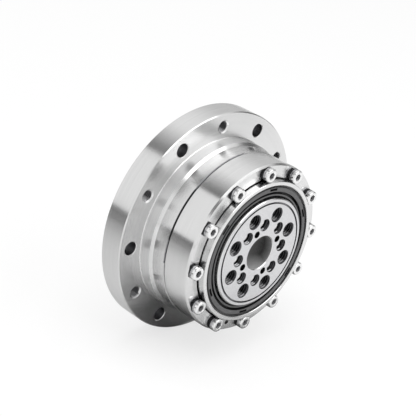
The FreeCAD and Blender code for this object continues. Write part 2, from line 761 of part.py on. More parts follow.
def flexspline():
    """The thin cup: a toothed rim pushed into an ellipse, a wall that rounds off, and a flat bottom."""
    swell = deflection()
    root = size("Sizes.tooth_module * Sizes.cup_teeth / 2 - Sizes.cup_dedendum")
    inside = root - size("Sizes.cup_root_wall")
    outside = inside + size("Sizes.cup_wall")
    rim = size("Sizes.cup_rim")
    teeth_end = size("Sizes.cup_teeth_end")
    wall_end = size("Sizes.cup_wall_end")
    toothed = prism(cup_tooth_points(), rim, teeth_end)
    toothed = toothed.cut(elliptic_disc(inside, swell, rim - 1, teeth_end + 1))

    def tapering(radius):
        round_end = Part.Wire(Part.makeCircle(radius, Vector(0, 0, wall_end)))
        return Part.makeLoft([ellipse_wire(radius, swell, teeth_end), round_end], True, True)

    wall = tapering(outside).cut(tapering(inside))
    spigot = size("Sizes.cup_spigot / 2 + Sizes.fit_gap")
    boss = size("Sizes.boss_diameter / 2")
    rear = size("Sizes.boss_rear")
    front = size("Sizes.output_rear")
    inner_floor = size("Sizes.diaphragm_rear")
    outer_floor = size("Sizes.diaphragm_front")
    section = [
        (spigot, rear),
        (boss, rear),
        (boss + 1.5, inner_floor),
        (inside - 0.7, inner_floor),
        (inside, wall_end),
        (outside, wall_end),
        (outside, inner_floor),
        (outside - 0.6, outer_floor),
        (boss + 0.4, outer_floor),
        (boss, front),
        (spigot, front),
    ]
    corners = [Vector(radius, 0, station) for radius, station in section]
    floor = Part.Face(Part.makePolygon([*corners, corners[0]])).revolve(Vector(), Vector(0, 0, 1), 360)
    cup = toothed.fuse([wall, floor]).removeSplitter()
    return built("flexspline", cup.cut(cup_holes(rear - 1, front + 1)))


def clamp_ring():
    """The ring under the screw heads in the cup."""
    body = new_body("clamp_ring")
    turned(body, "clamp_ring_turning", [
        ("Sizes.cup_spigot / 2 + 0.3", "Sizes.clamp_rear"),
        ("Sizes.boss_diameter / 2 - 0.4", "Sizes.clamp_rear"),
        ("Sizes.boss_diameter / 2", "Sizes.clamp_rear + 0.4"),
        ("Sizes.boss_diameter / 2", "Sizes.boss_rear"),
        ("Sizes.cup_spigot / 2 + 0.3", "Sizes.boss_rear"),
    ])
    drilled(body, "clamp_ring_holes", "Sizes.cup_screw_circle", "Sizes.cup_screw_count", 0,
            "Sizes.cup_screw_hole", "Sizes.boss_rear", "Sizes.boss_rear - Sizes.clamp_rear + 1")
    return body


def flexspline_screws():
    """The screws from inside the cup into the output flange."""
    screw = socket_screw("cup_screw", "cup_screw").Shape.copy()
    screw.rotate(Vector(), Vector(1, 0, 0), 180)
    screw.translate(Vector(
        size("Sizes.cup_screw_circle / 2"), 0, size("Sizes.clamp_rear + Sizes.cup_screw_length")
    ))
    screws = copies_about_axis(screw, int(size("Sizes.cup_screw_count")))
    return built("flexspline_screws", Part.makeCompound(screws))


def dowel_pins():
    """The pins that take the torque between the cup and the output flange."""
    pin = Part.makeCylinder(
        size("Sizes.dowel_diameter / 2"),
        size("Sizes.dowel_front - Sizes.dowel_rear"),
        Vector(size("Sizes.dowel_circle / 2"), 0, size("Sizes.dowel_rear")),
    )
    pins = copies_about_axis(pin, int(size("Sizes.dowel_count")), 22.5)
    return built("dowel_pins", Part.makeCompound(pins))


def cam_bearing():
    """The thin ball bearing round the cam, pushed into the same ellipse: races, balls and cage."""
    swell = deflection()
    rear = size("Sizes.cam_rear")
    front = size("Sizes.race_front")
    pitch = size("Sizes.ball_pitch_radius")
    station = size("Sizes.ball_station")
    count = int(size("Sizes.ball_count"))
    track_line = ellipse_wire(pitch, swell, station)
    groove_centre = Vector(pitch + swell, 0, station)
    ring = Part.Wire(Part.makeCircle(size("Sizes.ball_groove"), groove_centre, Vector(0, 1, 0)))
    track = track_line.makePipeShell([ring], True, True)

    def race(outer, inner):
        blank = elliptic_disc(outer, swell, rear, front)
        return blank.cut([elliptic_disc(inner, swell, rear - 1, front + 1), track])

    inside_cup = size(
        "Sizes.tooth_module * Sizes.cup_teeth / 2 - Sizes.cup_dedendum - Sizes.cup_root_wall - Sizes.race_fit"
    )
    outer_race = race(inside_cup, inside_cup - size("Sizes.outer_race_thickness"))
    inner_radius = size("Sizes.inner_race_radius")
    inner_race = race(inner_radius, inner_radius - size("Sizes.inner_race_thickness"))
    centres = []
    for index in range(count):
        angle = 2 * math.pi * index / count
        centres.append(Vector((pitch + swell) * math.cos(angle), (pitch - swell) * math.sin(angle), station))
    balls = [Part.makeSphere(size("Sizes.ball_diameter / 2"), centre) for centre in centres]
    half = size("Sizes.cage_thickness / 2")
    cage_rear = size("Sizes.cage_rear")
    cage_front = size("Sizes.cage_front")
    cage = elliptic_disc(pitch + half, swell, cage_rear, cage_front)
    pockets = [Part.makeSphere(size("Sizes.cage_pocket"), centre) for centre in centres]
    cage = cage.cut([elliptic_disc(pitch - half, swell, cage_rear - 1, cage_front + 1), *pockets])
    return [
        built("cam_outer_race", outer_race),
        built("cam_inner_race", inner_race),
        built("cam_balls", Part.makeCompound(balls)),
        built("cam_ball_cage", cage),
    ]


def cam_plug():
    """The elliptic cam, with a recess and two lugs for the coupling insert and two pull-off holes."""
    swell = deflection()
    rear = size("Sizes.cam_rear")
    front = size("Sizes.cam_front")
    seat = size("Sizes.inner_race_radius - Sizes.inner_race_thickness - Sizes.race_fit")
    floor = size("Sizes.recess_floor")
    cam = elliptic_disc(seat, swell, rear, front)
    bore = Part.makeCylinder(size("Sizes.cam_bore / 2"), front - rear + 2, Vector(0, 0, rear - 1))
    recess = Part.makeCylinder(size("Sizes.recess_diameter / 2"), floor - rear + 1, Vector(0, 0, rear - 1))
    jack_hole = Part.makeCylinder(
        size("Sizes.jack_hole / 2"), front - rear + 2, Vector(size("Sizes.jack_circle / 2"), 0, rear - 1)
    )
    cam = cam.cut([bore, recess, *copies_about_axis(jack_hole, 2)])
    width = size("Sizes.lug_width")
    inner = size("Sizes.lug_inner / 2")
    outer = size("Sizes.lug_outer / 2")
    reach = size("Sizes.lug_reach")
    lug = Part.makeBox(width, outer - inner, reach, Vector(-width / 2, inner, floor - reach))
    return built("cam_plug", cam.fuse(copies_about_axis(lug, 2)))


def slot_across(body, name, station, half_x, half_y, depth, towards_front):
    """A slot right across the body, sunk from a station."""
    sketch = outline(body, name + "_outline", [
        (f"-({half_x})", f"-({half_y})"),
        (half_x, f"-({half_y})"),
        (half_x, half_y),
        (f"-({half_x})", half_y),
    ], plane="XY_Plane")
    sketch.setExpression("AttachmentOffset.Base.z", station)
    feature = body.newObject("PartDesign::Pocket", name)
    feature.Profile = sketch
    feature.setExpression("Length", depth)
    feature.Reversed = towards_front
    document.recompute()


def oldham_insert():
    """The floating ring of the coupling, slotted one way in front and the other way behind."""
    body = new_body("oldham_insert")
    turned(body, "insert_turning", [
        ("Sizes.insert_inner / 2", "0"),
        ("Sizes.insert_outer / 2", "0"),
        ("Sizes.insert_outer / 2", "Sizes.insert_front"),
        ("Sizes.insert_inner / 2", "Sizes.insert_front"),
    ])
    half = "Sizes.lug_width / 2 + Sizes.lug_fit"
    depth = "Sizes.insert_slot_depth"
    slot_across(body, "front_slot", "Sizes.insert_front", half, "Sizes.insert_outer", depth, False)
    slot_across(body, "rear_slot", "0 mm", "Sizes.insert_outer", half, depth, True)
    return body


def input_hub():
    """The hub that takes the motor shaft, drawn from its own rear end."""
    body = new_body("hub_blank", laid_over=False)
    flange_rear = "Sizes.hub_collar_length"
    flange_front = "Sizes.hub_collar_length + Sizes.hub_flange_length"
    end = "Sizes.hub_projection + Sizes.hub_end"
    groove_rear = "Sizes.hub_projection + Sizes.snap_ring_rear - Sizes.fit_gap"
    groove_front = "Sizes.hub_projection + Sizes.snap_ring_front + Sizes.fit_gap"
    groove = "Sizes.snap_ring_inner / 2 - Sizes.fit_gap"
    turned(body, "hub_turning", [
        ("Sizes.input_bore / 2 + Sizes.hub_edge", "0"),
        ("Sizes.hub_collar_diameter / 2 - Sizes.hub_edge", "0"),
        ("Sizes.hub_collar_diameter / 2", "Sizes.hub_edge"),
        ("Sizes.hub_collar_diameter / 2", flange_rear),
        ("Sizes.insert_outer / 2 - Sizes.hub_edge", flange_rear),
        ("Sizes.insert_outer / 2", f"{flange_rear} + Sizes.hub_edge"),
        ("Sizes.insert_outer / 2", flange_front),
        ("Sizes.hub_tube / 2", flange_front),
        ("Sizes.hub_tube / 2", groove_rear),
        (groove, groove_rear),
        (groove, groove_front),
        ("Sizes.hub_tube / 2", groove_front),
        ("Sizes.hub_tube / 2", end),
        ("Sizes.input_bore / 2", end),
        ("Sizes.input_bore / 2", "Sizes.hub_edge"),
    ])
    lug = outline(body, "hub_lug_outline", [
        ("Sizes.lug_inner / 2", "-Sizes.lug_width / 2"),
        ("Sizes.lug_outer / 2", "-Sizes.lug_width / 2"),
        ("Sizes.lug_outer / 2", "Sizes.lug_width / 2"),
        ("Sizes.lug_inner / 2", "Sizes.lug_width / 2"),
    ], plane="XY_Plane")
    lug.setExpression("AttachmentOffset.Base.z", flange_front)
    pad = body.newObject("PartDesign::Pad", "hub_lug")
    pad.Profile = lug
    pad.setExpression("Length", "Sizes.lug_reach")
    document.recompute()
    round_the_axis(body, pad, lug, "2")
    key = outline(body, "keyway_outline", [
        ("-Sizes.key_width / 2", "0"),
        ("Sizes.key_width / 2", "0"),
        ("Sizes.key_width / 2", "Sizes.key_top"),
        ("-Sizes.key_width / 2", "Sizes.key_top"),
    ], plane="XY_Plane")
    pocket = body.newObject("PartDesign::Pocket", "keyway")
    pocket.Profile = key
    pocket.Type = "ThroughAll"
    pocket.Reversed = True
    document.recompute()
    middle = size(f"{flange_rear} + Sizes.hub_flange_length / 2")
    bars = []
    for angle in (90.0, 0.0):
        bar = round_bar("set_screw_hole", "Sizes.set_screw_diameter", "Sizes.insert_outer / 2")
        bar.Placement = radial_placement(angle, size("Sizes.input_bore / 4"), middle)
        bars.append(bar)
    holes = document.addObject("Part::MultiFuse", "set_screw_holes")
    holes.Shapes = bars
    hub = cut_from("input_hub", body, holes)
    hub.setExpression("Placement.Base.y", "Sizes.hub_projection")
    return hub


def hub_set_screws():
    """The two headless screws that lock the hub, one over the key and one on the shaft."""
    radius = size("Sizes.set_screw_diameter / 2 - Sizes.fit_gap")
    length = size("Sizes.set_screw_length")
    reach = size("Sizes.set_screw_socket") / math.sqrt(3)
    hexagon = [
        Vector(reach * math.cos(math.radians(60 * k)), reach * math.sin(math.radians(60 * k)), 0)
        for k in range(6)
    ]
    screw = Part.makeCylinder(radius, length).cut(prism(hexagon, length - 1.6, length + 1))
    station = size("Sizes.hub_collar_length + Sizes.hub_flange_length / 2 - Sizes.hub_projection")
    placed = []
    for angle, foot in ((90.0, size("Sizes.key_top + 0.1")), (0.0, size("Sizes.input_bore / 2 + 0.1"))):
        copy = screw.copy()
        copy.Placement = radial_placement(angle, foot, station)
        placed.append(copy)
    return built("hub_set_screws", Part.makeCompound(placed))


def hub_washer():
    """The thrust washer between the cam and the snap ring."""
    body = new_body("hub_washer")
    turned(body, "washer_turning", [
        ("Sizes.hub_tube / 2 + Sizes.fit_gap", "Sizes.washer_rear"),
        ("Sizes.washer_outer / 2", "Sizes.washer_rear"),
        ("Sizes.washer_outer / 2", "Sizes.washer_front"),
        ("Sizes.hub_tube / 2 + Sizes.fit_gap", "Sizes.washer_front"),
    ])
    return body


def hub_snap_ring():
    """The open ring that keeps the hub in the cam."""
    body = new_body("hub_snap_ring")
    turned(body, "snap_ring_turning", [
        ("Sizes.snap_ring_inner / 2", "Sizes.snap_ring_rear"),
        ("Sizes.snap_ring_outer / 2", "Sizes.snap_ring_rear"),
        ("Sizes.snap_ring_outer / 2", "Sizes.snap_ring_front"),
        ("Sizes.snap_ring_inner / 2", "Sizes.snap_ring_front"),
    ])
    opening = outline(body, "snap_ring_opening_outline", [
        ("-Sizes.snap_ring_opening / 2", "-Sizes.snap_ring_outer"),
        ("Sizes.snap_ring_opening / 2", "-Sizes.snap_ring_outer"),
        ("Sizes.snap_ring_opening / 2", "0"),
        ("-Sizes.snap_ring_opening / 2", "0"),
    ], plane="XY_Plane")
    pocket = body.newObject("PartDesign::Pocket", "snap_ring_opening")
    pocket.Profile = opening
    pocket.Type = "ThroughAll"
    pocket.Reversed = True
    document.recompute()
    return body


def write_pieces(pieces):
    """Checks every object of the document, then writes one STEP file for each piece."""
    document.recompute()
    for item in document.Objects:
        if {"Invalid", "Error"} & set(item.State):
            raise RuntimeError(f"{item.Label} did not build: {item.State}")
    os.makedirs("parts", exist_ok=True)
    for piece in pieces:
        shape = piece.Shape
        if shape.isNull() or not shape.isValid():
            raise RuntimeError(f"{piece.Label} has no valid shape")
        shape.exportStep(f"parts/{piece.Label}.step")
        print(f"{piece.Label}: {len(shape.Solids)} solids, {shape.Volume:.1f} mm3")


def main():
    """Builds every piece and writes it."""
    fill_sheet()
    pieces = [
        circular_spline(),
        *bearing_outer_ring(),
        plug_pin(),
        body_o_ring(),
        ring_screws(),
        output_seal(),
        *bearing_rollers(),
        output_flange(),
        flexspline(),
        clamp_ring(),
        flexspline_screws(),
        dowel_pins(),
        *cam_bearing(),
        cam_plug(),
        oldham_insert(),
        input_hub(),
        hub_set_screws(),
        hub_washer(),
        hub_snap_ring(),
    ]
    write_pieces(pieces)


main()
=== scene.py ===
"""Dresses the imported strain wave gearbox: turned steel, cut threads, knurled screws and a rubber seal.

Lengths in the dataclasses are in mm. A piece is built about the local Z axis, where Z is the station
forward of the rear mounting face, and is then laid over so that the output faces -Y in the frame.
"""

import json
import logging
import math
from collections.abc import Callable
from dataclasses import dataclass
from enum import Enum
from typing import Any

import bmesh
import bpy
from bmesh.types import BMEdge, BMesh, BMFace
from bpy.types import Material, Mesh, Node, NodeSocket, NodeTree, Object
from mathutils import Matrix, Vector

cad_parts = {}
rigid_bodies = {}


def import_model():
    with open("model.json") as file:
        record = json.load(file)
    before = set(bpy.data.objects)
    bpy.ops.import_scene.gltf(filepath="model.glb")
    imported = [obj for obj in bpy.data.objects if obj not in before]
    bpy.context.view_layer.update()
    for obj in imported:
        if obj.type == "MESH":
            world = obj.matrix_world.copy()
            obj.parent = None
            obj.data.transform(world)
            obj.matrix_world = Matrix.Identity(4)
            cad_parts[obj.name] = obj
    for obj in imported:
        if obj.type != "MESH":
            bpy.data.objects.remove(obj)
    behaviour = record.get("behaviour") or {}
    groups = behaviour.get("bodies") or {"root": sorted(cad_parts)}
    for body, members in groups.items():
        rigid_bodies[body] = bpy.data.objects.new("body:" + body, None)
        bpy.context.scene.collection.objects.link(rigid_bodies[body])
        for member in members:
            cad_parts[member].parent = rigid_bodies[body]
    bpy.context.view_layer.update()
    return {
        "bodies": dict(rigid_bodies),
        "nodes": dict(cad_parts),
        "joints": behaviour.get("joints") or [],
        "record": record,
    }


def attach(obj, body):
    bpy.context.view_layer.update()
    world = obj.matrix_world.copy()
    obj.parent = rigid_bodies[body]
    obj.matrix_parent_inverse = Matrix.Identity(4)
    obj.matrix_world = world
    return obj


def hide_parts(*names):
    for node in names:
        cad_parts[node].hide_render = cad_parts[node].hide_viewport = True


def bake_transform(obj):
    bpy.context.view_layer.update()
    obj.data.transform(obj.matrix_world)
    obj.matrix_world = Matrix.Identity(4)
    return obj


Point = tuple[float, float, float]
Pairs = tuple[tuple[float, float], ...]

LOG = logging.getLogger("gearbox")
MM = 0.001
ORIGIN = (0.0, 0.0, 0.0)
LOCAL_AXIS = (0.0, 0.0, 1.0)
LAID_OVER = Matrix.Rotation(math.radians(90.0), 4, "X")
# Edges that bend less than this are shaded smooth.
SOFT_EDGE = math.radians(28.0)
# Corners of a CAD copy, and at the seam of a spin, that are closer than this in metres are one corner.
MERGE = 1e-7
SEAM_MERGE = 1e-6
# How far a face may lie off a plane or a wall and still count as on it, in mm.
HAIR = 0.01
WALL = 0.05
# How square to the shaft a face is, as a cosine, to count as a front or rear face or as flat.
FACING = 0.75
FLAT = 0.99
# The part of a noise that most of its values lie in, which the roughness is spread over.
NOISE_LOW, NOISE_HIGH = 0.3, 0.7


def linear(code: str) -> tuple[float, float, float, float]:
    """Turns an sRGB hex colour to linear.

    Args:
        code: Six hex digits after a hash.

    Returns:
        Linear red, green, blue and an alpha of 1.
    """
    parts = [int(code[i : i + 2], 16) / 255.0 for i in (1, 3, 5)]
    red, green, blue = (
        c / 12.92 if c <= 0.04045 else ((c + 0.055) / 1.055) ** 2.4 for c in parts
    )
    return red, green, blue, 1.0


def add_node(
    tree: NodeTree,
    kind: str,
    settings: dict[str, Any] | None = None,
    inputs: dict[Any, Any] | None = None,
) -> Node:
    """Adds a node with its settings and links.

    Args:
        tree: The node tree that gets the node.
        kind: The node's type.
        settings: Properties of the node itself.
        inputs: Values or linked sockets for its inputs, by name or number.

    Returns:
        The new node.
    """
    node = tree.nodes.new(kind)
    for name, value in (settings or {}).items():
        setattr(node, name, value)
    for key, value in (inputs or {}).items():
        if isinstance(value, NodeSocket):
            tree.links.new(value, node.inputs[key])
        else:
            node.inputs[key].default_value = value
    return node


def bare_material(name: str) -> Material:
    """Makes a node material that has no nodes yet.

    Args:
        name: Its name.

    Returns:
        The new material.
    """
    made = bpy.data.materials.new(name)
    made.use_nodes = True
    made.node_tree.nodes.clear()
    return made


@dataclass(frozen=True)
class Finish:
    """A material and the way its surface was worked, with a colour that wanders off to a shade."""

    name: str
    colour: str
    shade: str
    roughness: float
    metallic: float = 1.0
    ior: float | None = None
    roughness_spread: float = 0.06
    bump: float = 0.6
    depth: float = 0.003

    def material(self) -> Material:
        """Makes the node material, or gives the one already made.

        Returns:
            The material of this finish.
        """
        made = bpy.data.materials.get(self.name)
        if made is not None:
            return made
        made = bare_material(self.name)
        tree = made.node_tree
        sockets = {"Base Color": linear(self.colour), "Metallic": self.metallic, "Roughness": self.roughness}
        if self.ior is not None:
            sockets["IOR"] = self.ior
        shader = add_node(tree, "ShaderNodeBsdfPrincipled", inputs=sockets)
        self.dress(tree, shader)
        add_node(tree, "ShaderNodeOutputMaterial", inputs={"Surface": shader.outputs[0]})
        return made

    def dress(self, tree: NodeTree, shader: Node) -> None:
        """Adds this finish's pattern to the shader."""
        raise NotImplementedError

    def feed(
        self, tree: NodeTree, shader: Node, tone: NodeSocket, wander: NodeSocket, relief: NodeSocket
    ) -> None:
        """Gives the shader its colour, its roughness and its relief.

        Args:
            tree: The material's nodes.
            shader: The shader.
            tone: Runs from the shade at 0 to the colour at 1.
            wander: The noise that the roughness follows.
            relief: The height of the surface.
        """
        colours = {0: tone, 6: linear(self.shade), 7: linear(self.colour)}
        spread = {
            "Value": wander,
            "From Min": NOISE_LOW,
            "From Max": NOISE_HIGH,
            "To Min": self.roughness - self.roughness_spread,
            "To Max": self.roughness + self.roughness_spread,
        }
        raised = {"Strength": self.bump, "Distance": self.depth * MM, "Height": relief}
        for socket, kind, settings, inputs, output in (
            ("Base Color", "ShaderNodeMix", {"data_type": "RGBA"}, colours, 2),
            ("Roughness", "ShaderNodeMapRange", {}, spread, 0),
            ("Normal", "ShaderNodeBump", {}, raised, 0),
        ):
            node = add_node(tree, kind, settings, inputs)
            tree.links.new(node.outputs[output], shader.inputs[socket])


@dataclass(frozen=True)
class TurnedSteel(Finish):
    """Steel turned on a lathe: fine rings about the shaft that smear reflections across the cut."""

    roughness_spread: float = 0.02
    bump: float = 0.5
    depth: float = 0.0004
    ring_pitch: float = 0.35
    ring_run: float = 60.0
    ring_tones: tuple[float, float] = (0.34, 0.62)
    smudge: float = 14.0
    smudge_share: float = 0.4
    smear: float = 0.88
    smear_turn: float = 0.25

    def dress(self, tree: NodeTree, shader: Node) -> None:
        """Draws the rings by radius and station, and turns the smear across them.

        Args:
            tree: The material's nodes.
            shader: The shader that they feed.
        """
        place = add_node(tree, "ShaderNodeTexCoord").outputs["Object"]
        x, y, z = add_node(tree, "ShaderNodeSeparateXYZ", inputs={0: place}).outputs
        across = add_node(tree, "ShaderNodeCombineXYZ", inputs={"X": x, "Z": z}).outputs[0]
        radius = add_node(tree, "ShaderNodeVectorMath", {"operation": "LENGTH"}, {0: across}).outputs["Value"]
        diagonal = add_node(tree, "ShaderNodeMath", {"operation": "ADD"}, {0: x, 1: z}).outputs[0]
        slow = self.ring_pitch / self.ring_run
        run = add_node(tree, "ShaderNodeMath", {"operation": "MULTIPLY"}, {0: diagonal, 1: slow}).outputs[0]
        cut = add_node(tree, "ShaderNodeCombineXYZ", inputs={"X": radius, "Y": y, "Z": run}).outputs[0]
        rings = add_node(
            tree,
            "ShaderNodeTexNoise",
            inputs={"Vector": cut, "Scale": 1 / (self.ring_pitch * MM), "Detail": 3.0, "Roughness": 0.65},
        ).outputs[0]
        smudges = add_node(
            tree,
            "ShaderNodeTexNoise",
            inputs={"Vector": place, "Scale": 1 / (self.smudge * MM), "Detail": 2.0},
        ).outputs[0]
        low, high = self.ring_tones
        tone = add_node(
            tree, "ShaderNodeMapRange", inputs={"Value": rings, "From Min": low, "From Max": high}
        ).outputs[0]
        wander = add_node(
            tree, "ShaderNodeMix", {"data_type": "FLOAT"}, {0: self.smudge_share, 2: rings, 3: smudges}
        ).outputs[0]
        self.feed(tree, shader, tone, wander, rings)
        back = add_node(tree, "ShaderNodeMath", {"operation": "MULTIPLY"}, {0: x, 1: -1.0}).outputs[0]
        along = add_node(tree, "ShaderNodeCombineXYZ", inputs={"X": z, "Z": back}).outputs[0]
        along = add_node(
            tree,
            "ShaderNodeVectorTransform",
            {"vector_type": "VECTOR", "convert_from": "OBJECT", "convert_to": "WORLD"},
            {0: along},
        ).outputs[0]
        along = add_node(tree, "ShaderNodeVectorMath", {"operation": "NORMALIZE"}, {0: along}).outputs[0]
        tree.links.new(along, shader.inputs["Tangent"])
        shader.inputs["Anisotropic"].default_value = self.smear
        shader.inputs["Anisotropic Rotation"].default_value = self.smear_turn


@dataclass(frozen=True)
class GrainedFinish(Finish):
    """A surface with an even grain: blasted or ground steel, sintered bronze, moulded plastic or rubber.

    Where dark_at is given, the tone carries painted shade and a painted highlight: a ring of painted shade at
    that station that pales away from it, and a painted highlight low down, at the given heights.
    """

    grain: float = 0.5
    mottle: float = 12.0
    mottle_share: float = 0.35
    tones: tuple[float, float] = (0.35, 0.65)
    # Painted shade and highlight in a bore: the dark ring's station and reach, the heights of the highlight
    # and how far they go.
    dark_at: float | None = None
    dark_reach: float = 5.0
    painted_highlight_heights: tuple[float, float] = (-4.2, -7.1)
    painted_highlight_tone: float = 1.1
    painted_share: float = 0.8

    def dress(self, tree: NodeTree, shader: Node) -> None:
        """Mottles colour and roughness, and raises the grain.

        Args:
            tree: The material's nodes.
            shader: The shader that they feed.
        """
        place = add_node(tree, "ShaderNodeTexCoord").outputs["Object"]
        grains, clouds = (
            add_node(
                tree,
                "ShaderNodeTexNoise",
                inputs={"Vector": place, "Scale": 1 / (size * MM), "Detail": detail, "Roughness": rough},
            ).outputs[0]
            for size, detail, rough in ((self.grain, 2.0, 0.6), (self.mottle, 3.0, 0.5))
        )
        tone = add_node(
            tree, "ShaderNodeMix", {"data_type": "FLOAT"}, {0: self.mottle_share, 2: grains, 3: clouds}
        ).outputs[0]
        low, high = self.tones
        tone = add_node(
            tree, "ShaderNodeMapRange", inputs={"Value": tone, "From Min": low, "From Max": high}
        ).outputs[0]
        if self.dark_at is not None:
            tone = self.painted_tone(tree, place, tone)
        self.feed(tree, shader, tone, clouds, grains)

    def painted_tone(self, tree: NodeTree, place: NodeSocket, tone: NodeSocket) -> NodeSocket:
        """Paints shade and light into the tone: pale away from the ring of painted shade, and a painted
        highlight low in the bore.

        Args:
            tree: The material's nodes.
            place: Object coordinates.
            tone: The tone of the grain alone.

        Returns:
            The tone with its painted shade and highlight.
        """
        _, y, z = add_node(tree, "ShaderNodeSeparateXYZ", inputs={0: place}).outputs
        station = self.dark_at * MM
        along = add_node(tree, "ShaderNodeMath", {"operation": "ADD"}, {0: y, 1: station}).outputs[0]
        away = add_node(tree, "ShaderNodeMath", {"operation": "ABSOLUTE"}, {0: along}).outputs[0]
        # Painted shade: the tone darkens near the station. Painted highlight: it pales low in the bore.
        worn, low = (
            add_node(
                tree,
                "ShaderNodeMapRange",
                inputs={"Value": value, "From Min": first * MM, "From Max": last * MM, "To Max": most},
            ).outputs[0]
            for value, first, last, most in (
                (away, 0.0, self.dark_reach, 1.0),
                (z, *self.painted_highlight_heights, self.painted_highlight_tone),
            )
        )
        worn = add_node(tree, "ShaderNodeMath", {"operation": "MAXIMUM"}, {0: worn, 1: low}).outputs[0]
        return add_node(
            tree, "ShaderNodeMix", {"data_type": "FLOAT"}, {0: self.painted_share, 2: tone, 3: worn}
        ).outputs[0]


class Finishes(Enum):
    """The finishes of this gearbox, each with what it gives the eye."""

    # Bearing steel turned and left bright: silver, with rings that smear light across the cut.
    # The rings of a real finishing cut are 0.1 mm apart; they are drawn wider so that they show.
    HOUSING = TurnedSteel("turned bright steel", "#dedede", "#d5d5d5", 0.21)
    # The register is ground to its fit: paler and softer than the turned faces, and less smeared.
    REGISTER = TurnedSteel("ground bright steel", "#e8e8e8", "#dcdcdc", 0.42, smear=0.7)
    # The edge at the seam is broken with a file, so its glint is dull.
    EDGE = TurnedSteel("filed steel edge", "#dcdcdc", "#cecece", 0.4, smear=0.9)
    # The front ring is ground after turning, so its marks are finer and its reflections sharper.
    RING = TurnedSteel("fine turned bright steel", "#e0e0e0", "#d8d8d8", 0.2, ring_pitch=0.28)
    # The output neck as turned, bright with a shorter smear.
    OUTPUT = TurnedSteel("turned output steel", "#e0e0e0", "#d2d2d2", 0.22, smear=0.8)
    # The output face is blasted to an even, pale, dull silver.
    OUTPUT_FACE = GrainedFinish("blasted steel face", "#dededf", "#cfcfd1", 0.46, grain=0.45, depth=0.004)
    # The blind output bore keeps a phosphate coat: even, matt grey, hardly a metal to the eye. A ring of
    # painted shade lies partway in and pales towards the mouth and the bottom, and a painted highlight runs
    # along its low side.
    BORED = GrainedFinish(
        "phosphated steel bore",
        "#c4c4c4",
        "#262626",
        0.45,
        metallic=0.2,
        ior=1.6,
        grain=0.3,
        mottle=5.0,
        dark_at=33.8,
        dark_reach=7.5,
    )
    # Deep painted shade, near black: the walls of the dowel holes, the seam groove and its end face, the
    # relief at the collar foot and a band of the seam chamfer.
    DEEP_SHADE = GrainedFinish("steel wall with deep painted shade", "#48484a", "#28282a", 0.5, grain=0.4, mottle=3.0)
    # A softer painted shade, mid grey: the walls of the plain flange holes, the groove in the output face and
    # the rest of the seam chamfer's upper left.
    SOFT_SHADE = GrainedFinish("steel wall with soft painted shade", "#98989a", "#5c5c60", 0.4, grain=0.4, mottle=1.5)
    # Threads cut with a tap: rougher than a turned face, and darker with painted shade inside the holes.
    TAPPED = GrainedFinish("tapped steel thread", "#828284", "#565658", 0.34, grain=0.3, mottle=3.0)
    # Painted highlight: their crests, and the turns on the low side of a hole, are painted paler than the
    # shaded turns, as where light from above falls.
    HIGHLIT_THREAD = GrainedFinish("steel thread with painted highlight", "#bcbcbe", "#98989a", 0.3, grain=0.3, mottle=3.0)
    # The blind output threads and the cup screw holes carry a deeper painted shade and look nearly black
    # between the crests.
    SHADED_THREAD = GrainedFinish("steel thread with painted shade", "#545456", "#38383a", 0.28, grain=0.3, mottle=3.0)
    # Nickel plated screws: bright, with small soft variations from handling.
    SCREW = GrainedFinish(
        "nickel plated screw steel", "#f2f2f2", "#e2e2e2", 0.2, depth=0.001, grain=0.25, mottle=2.5
    )
    # The rolled knurl round each head breaks up reflections and looks mottled grey.
    ROLLED = GrainedFinish("rolled knurl steel", "#dcdcde", "#6a6a6c", 0.34, grain=0.6, mottle=1.6)
    # Painted shade: the foot of each head, where it meets the ledge, and the socket floors are painted near
    # black.
    KNURL = GrainedFinish("knurled steel with painted shade", "#444446", "#262628", 0.42, grain=0.3, mottle=2.0)
    # The socket walls hold old oil: a dull, uneven grey without clear reflections.
    SOCKET = GrainedFinish(
        "oiled screw socket", "#c0c0c2", "#808082", 0.5, metallic=0.25, grain=0.3, mottle=1.2
    )
    # The screws and pins that hold the cup are zinc plated: pale silver with soft reflections.
    CUP_SCREW = GrainedFinish("zinc plated steel", "#eeeeee", "#dcdcdc", 0.3, grain=0.3, mottle=2.0)
    # Lapped balls, rollers and races are close to a mirror.
    BEARING = GrainedFinish(
        "lapped bearing steel", "#d8d8da", "#cdcdd0", 0.14, roughness_spread=0.03, depth=0.0004, grain=0.4
    )
    # The cup is nickel chrome steel, a touch warm, with hobbed teeth.
    CUP = GrainedFinish("hobbed nickel steel", "#c9c6c1", "#b3b0ab", 0.3, depth=0.001, grain=0.3)
    # The cam and the clamp ring are turned from plain steel, a little greyer and softer.
    CAM = TurnedSteel("turned cam steel", "#cfcfd1", "#b6b6b9", 0.33)
    # The hub is turned and lightly oiled, so its rings show.
    HUB = TurnedSteel("turned hub steel", "#d3d3d4", "#bbbbbd", 0.3)
    # Black oxide on hardened steel: near black with a low oily gloss.
    BLACK = GrainedFinish(
        "black oxide steel", "#2b2b2d", "#1d1d1f", 0.38, metallic=0.85, grain=0.35, mottle=4.0
    )
    # Sintered bronze, dull and brownish gold with open pores.
    BRONZE = GrainedFinish("sintered bronze", "#b08d57", "#8a6a3d", 0.42, depth=0.006, grain=0.4)
    # Nitrile rubber off a smooth mould: dark grey with a weak sheen.
    RUBBER = GrainedFinish(
        "moulded nitrile rubber", "#5a5a5b", "#4c4c4d", 0.42, metallic=0.0, ior=1.52, mottle=6.0
    )
    # Painted shade: the grooves round the lip and the slots are painted near black beside the bare rubber.
    SHADED_RUBBER = GrainedFinish(
        "nitrile rubber with painted shade", "#222223", "#181819", 0.45, metallic=0.0, ior=1.36, mottle=6.0
    )
    # Glass filled nylon cages, off white with a soft sheen.
    NYLON = GrainedFinish("moulded nylon", "#d9d3c2", "#c9c2af", 0.45, metallic=0.0, ior=1.53, mottle=5.0)
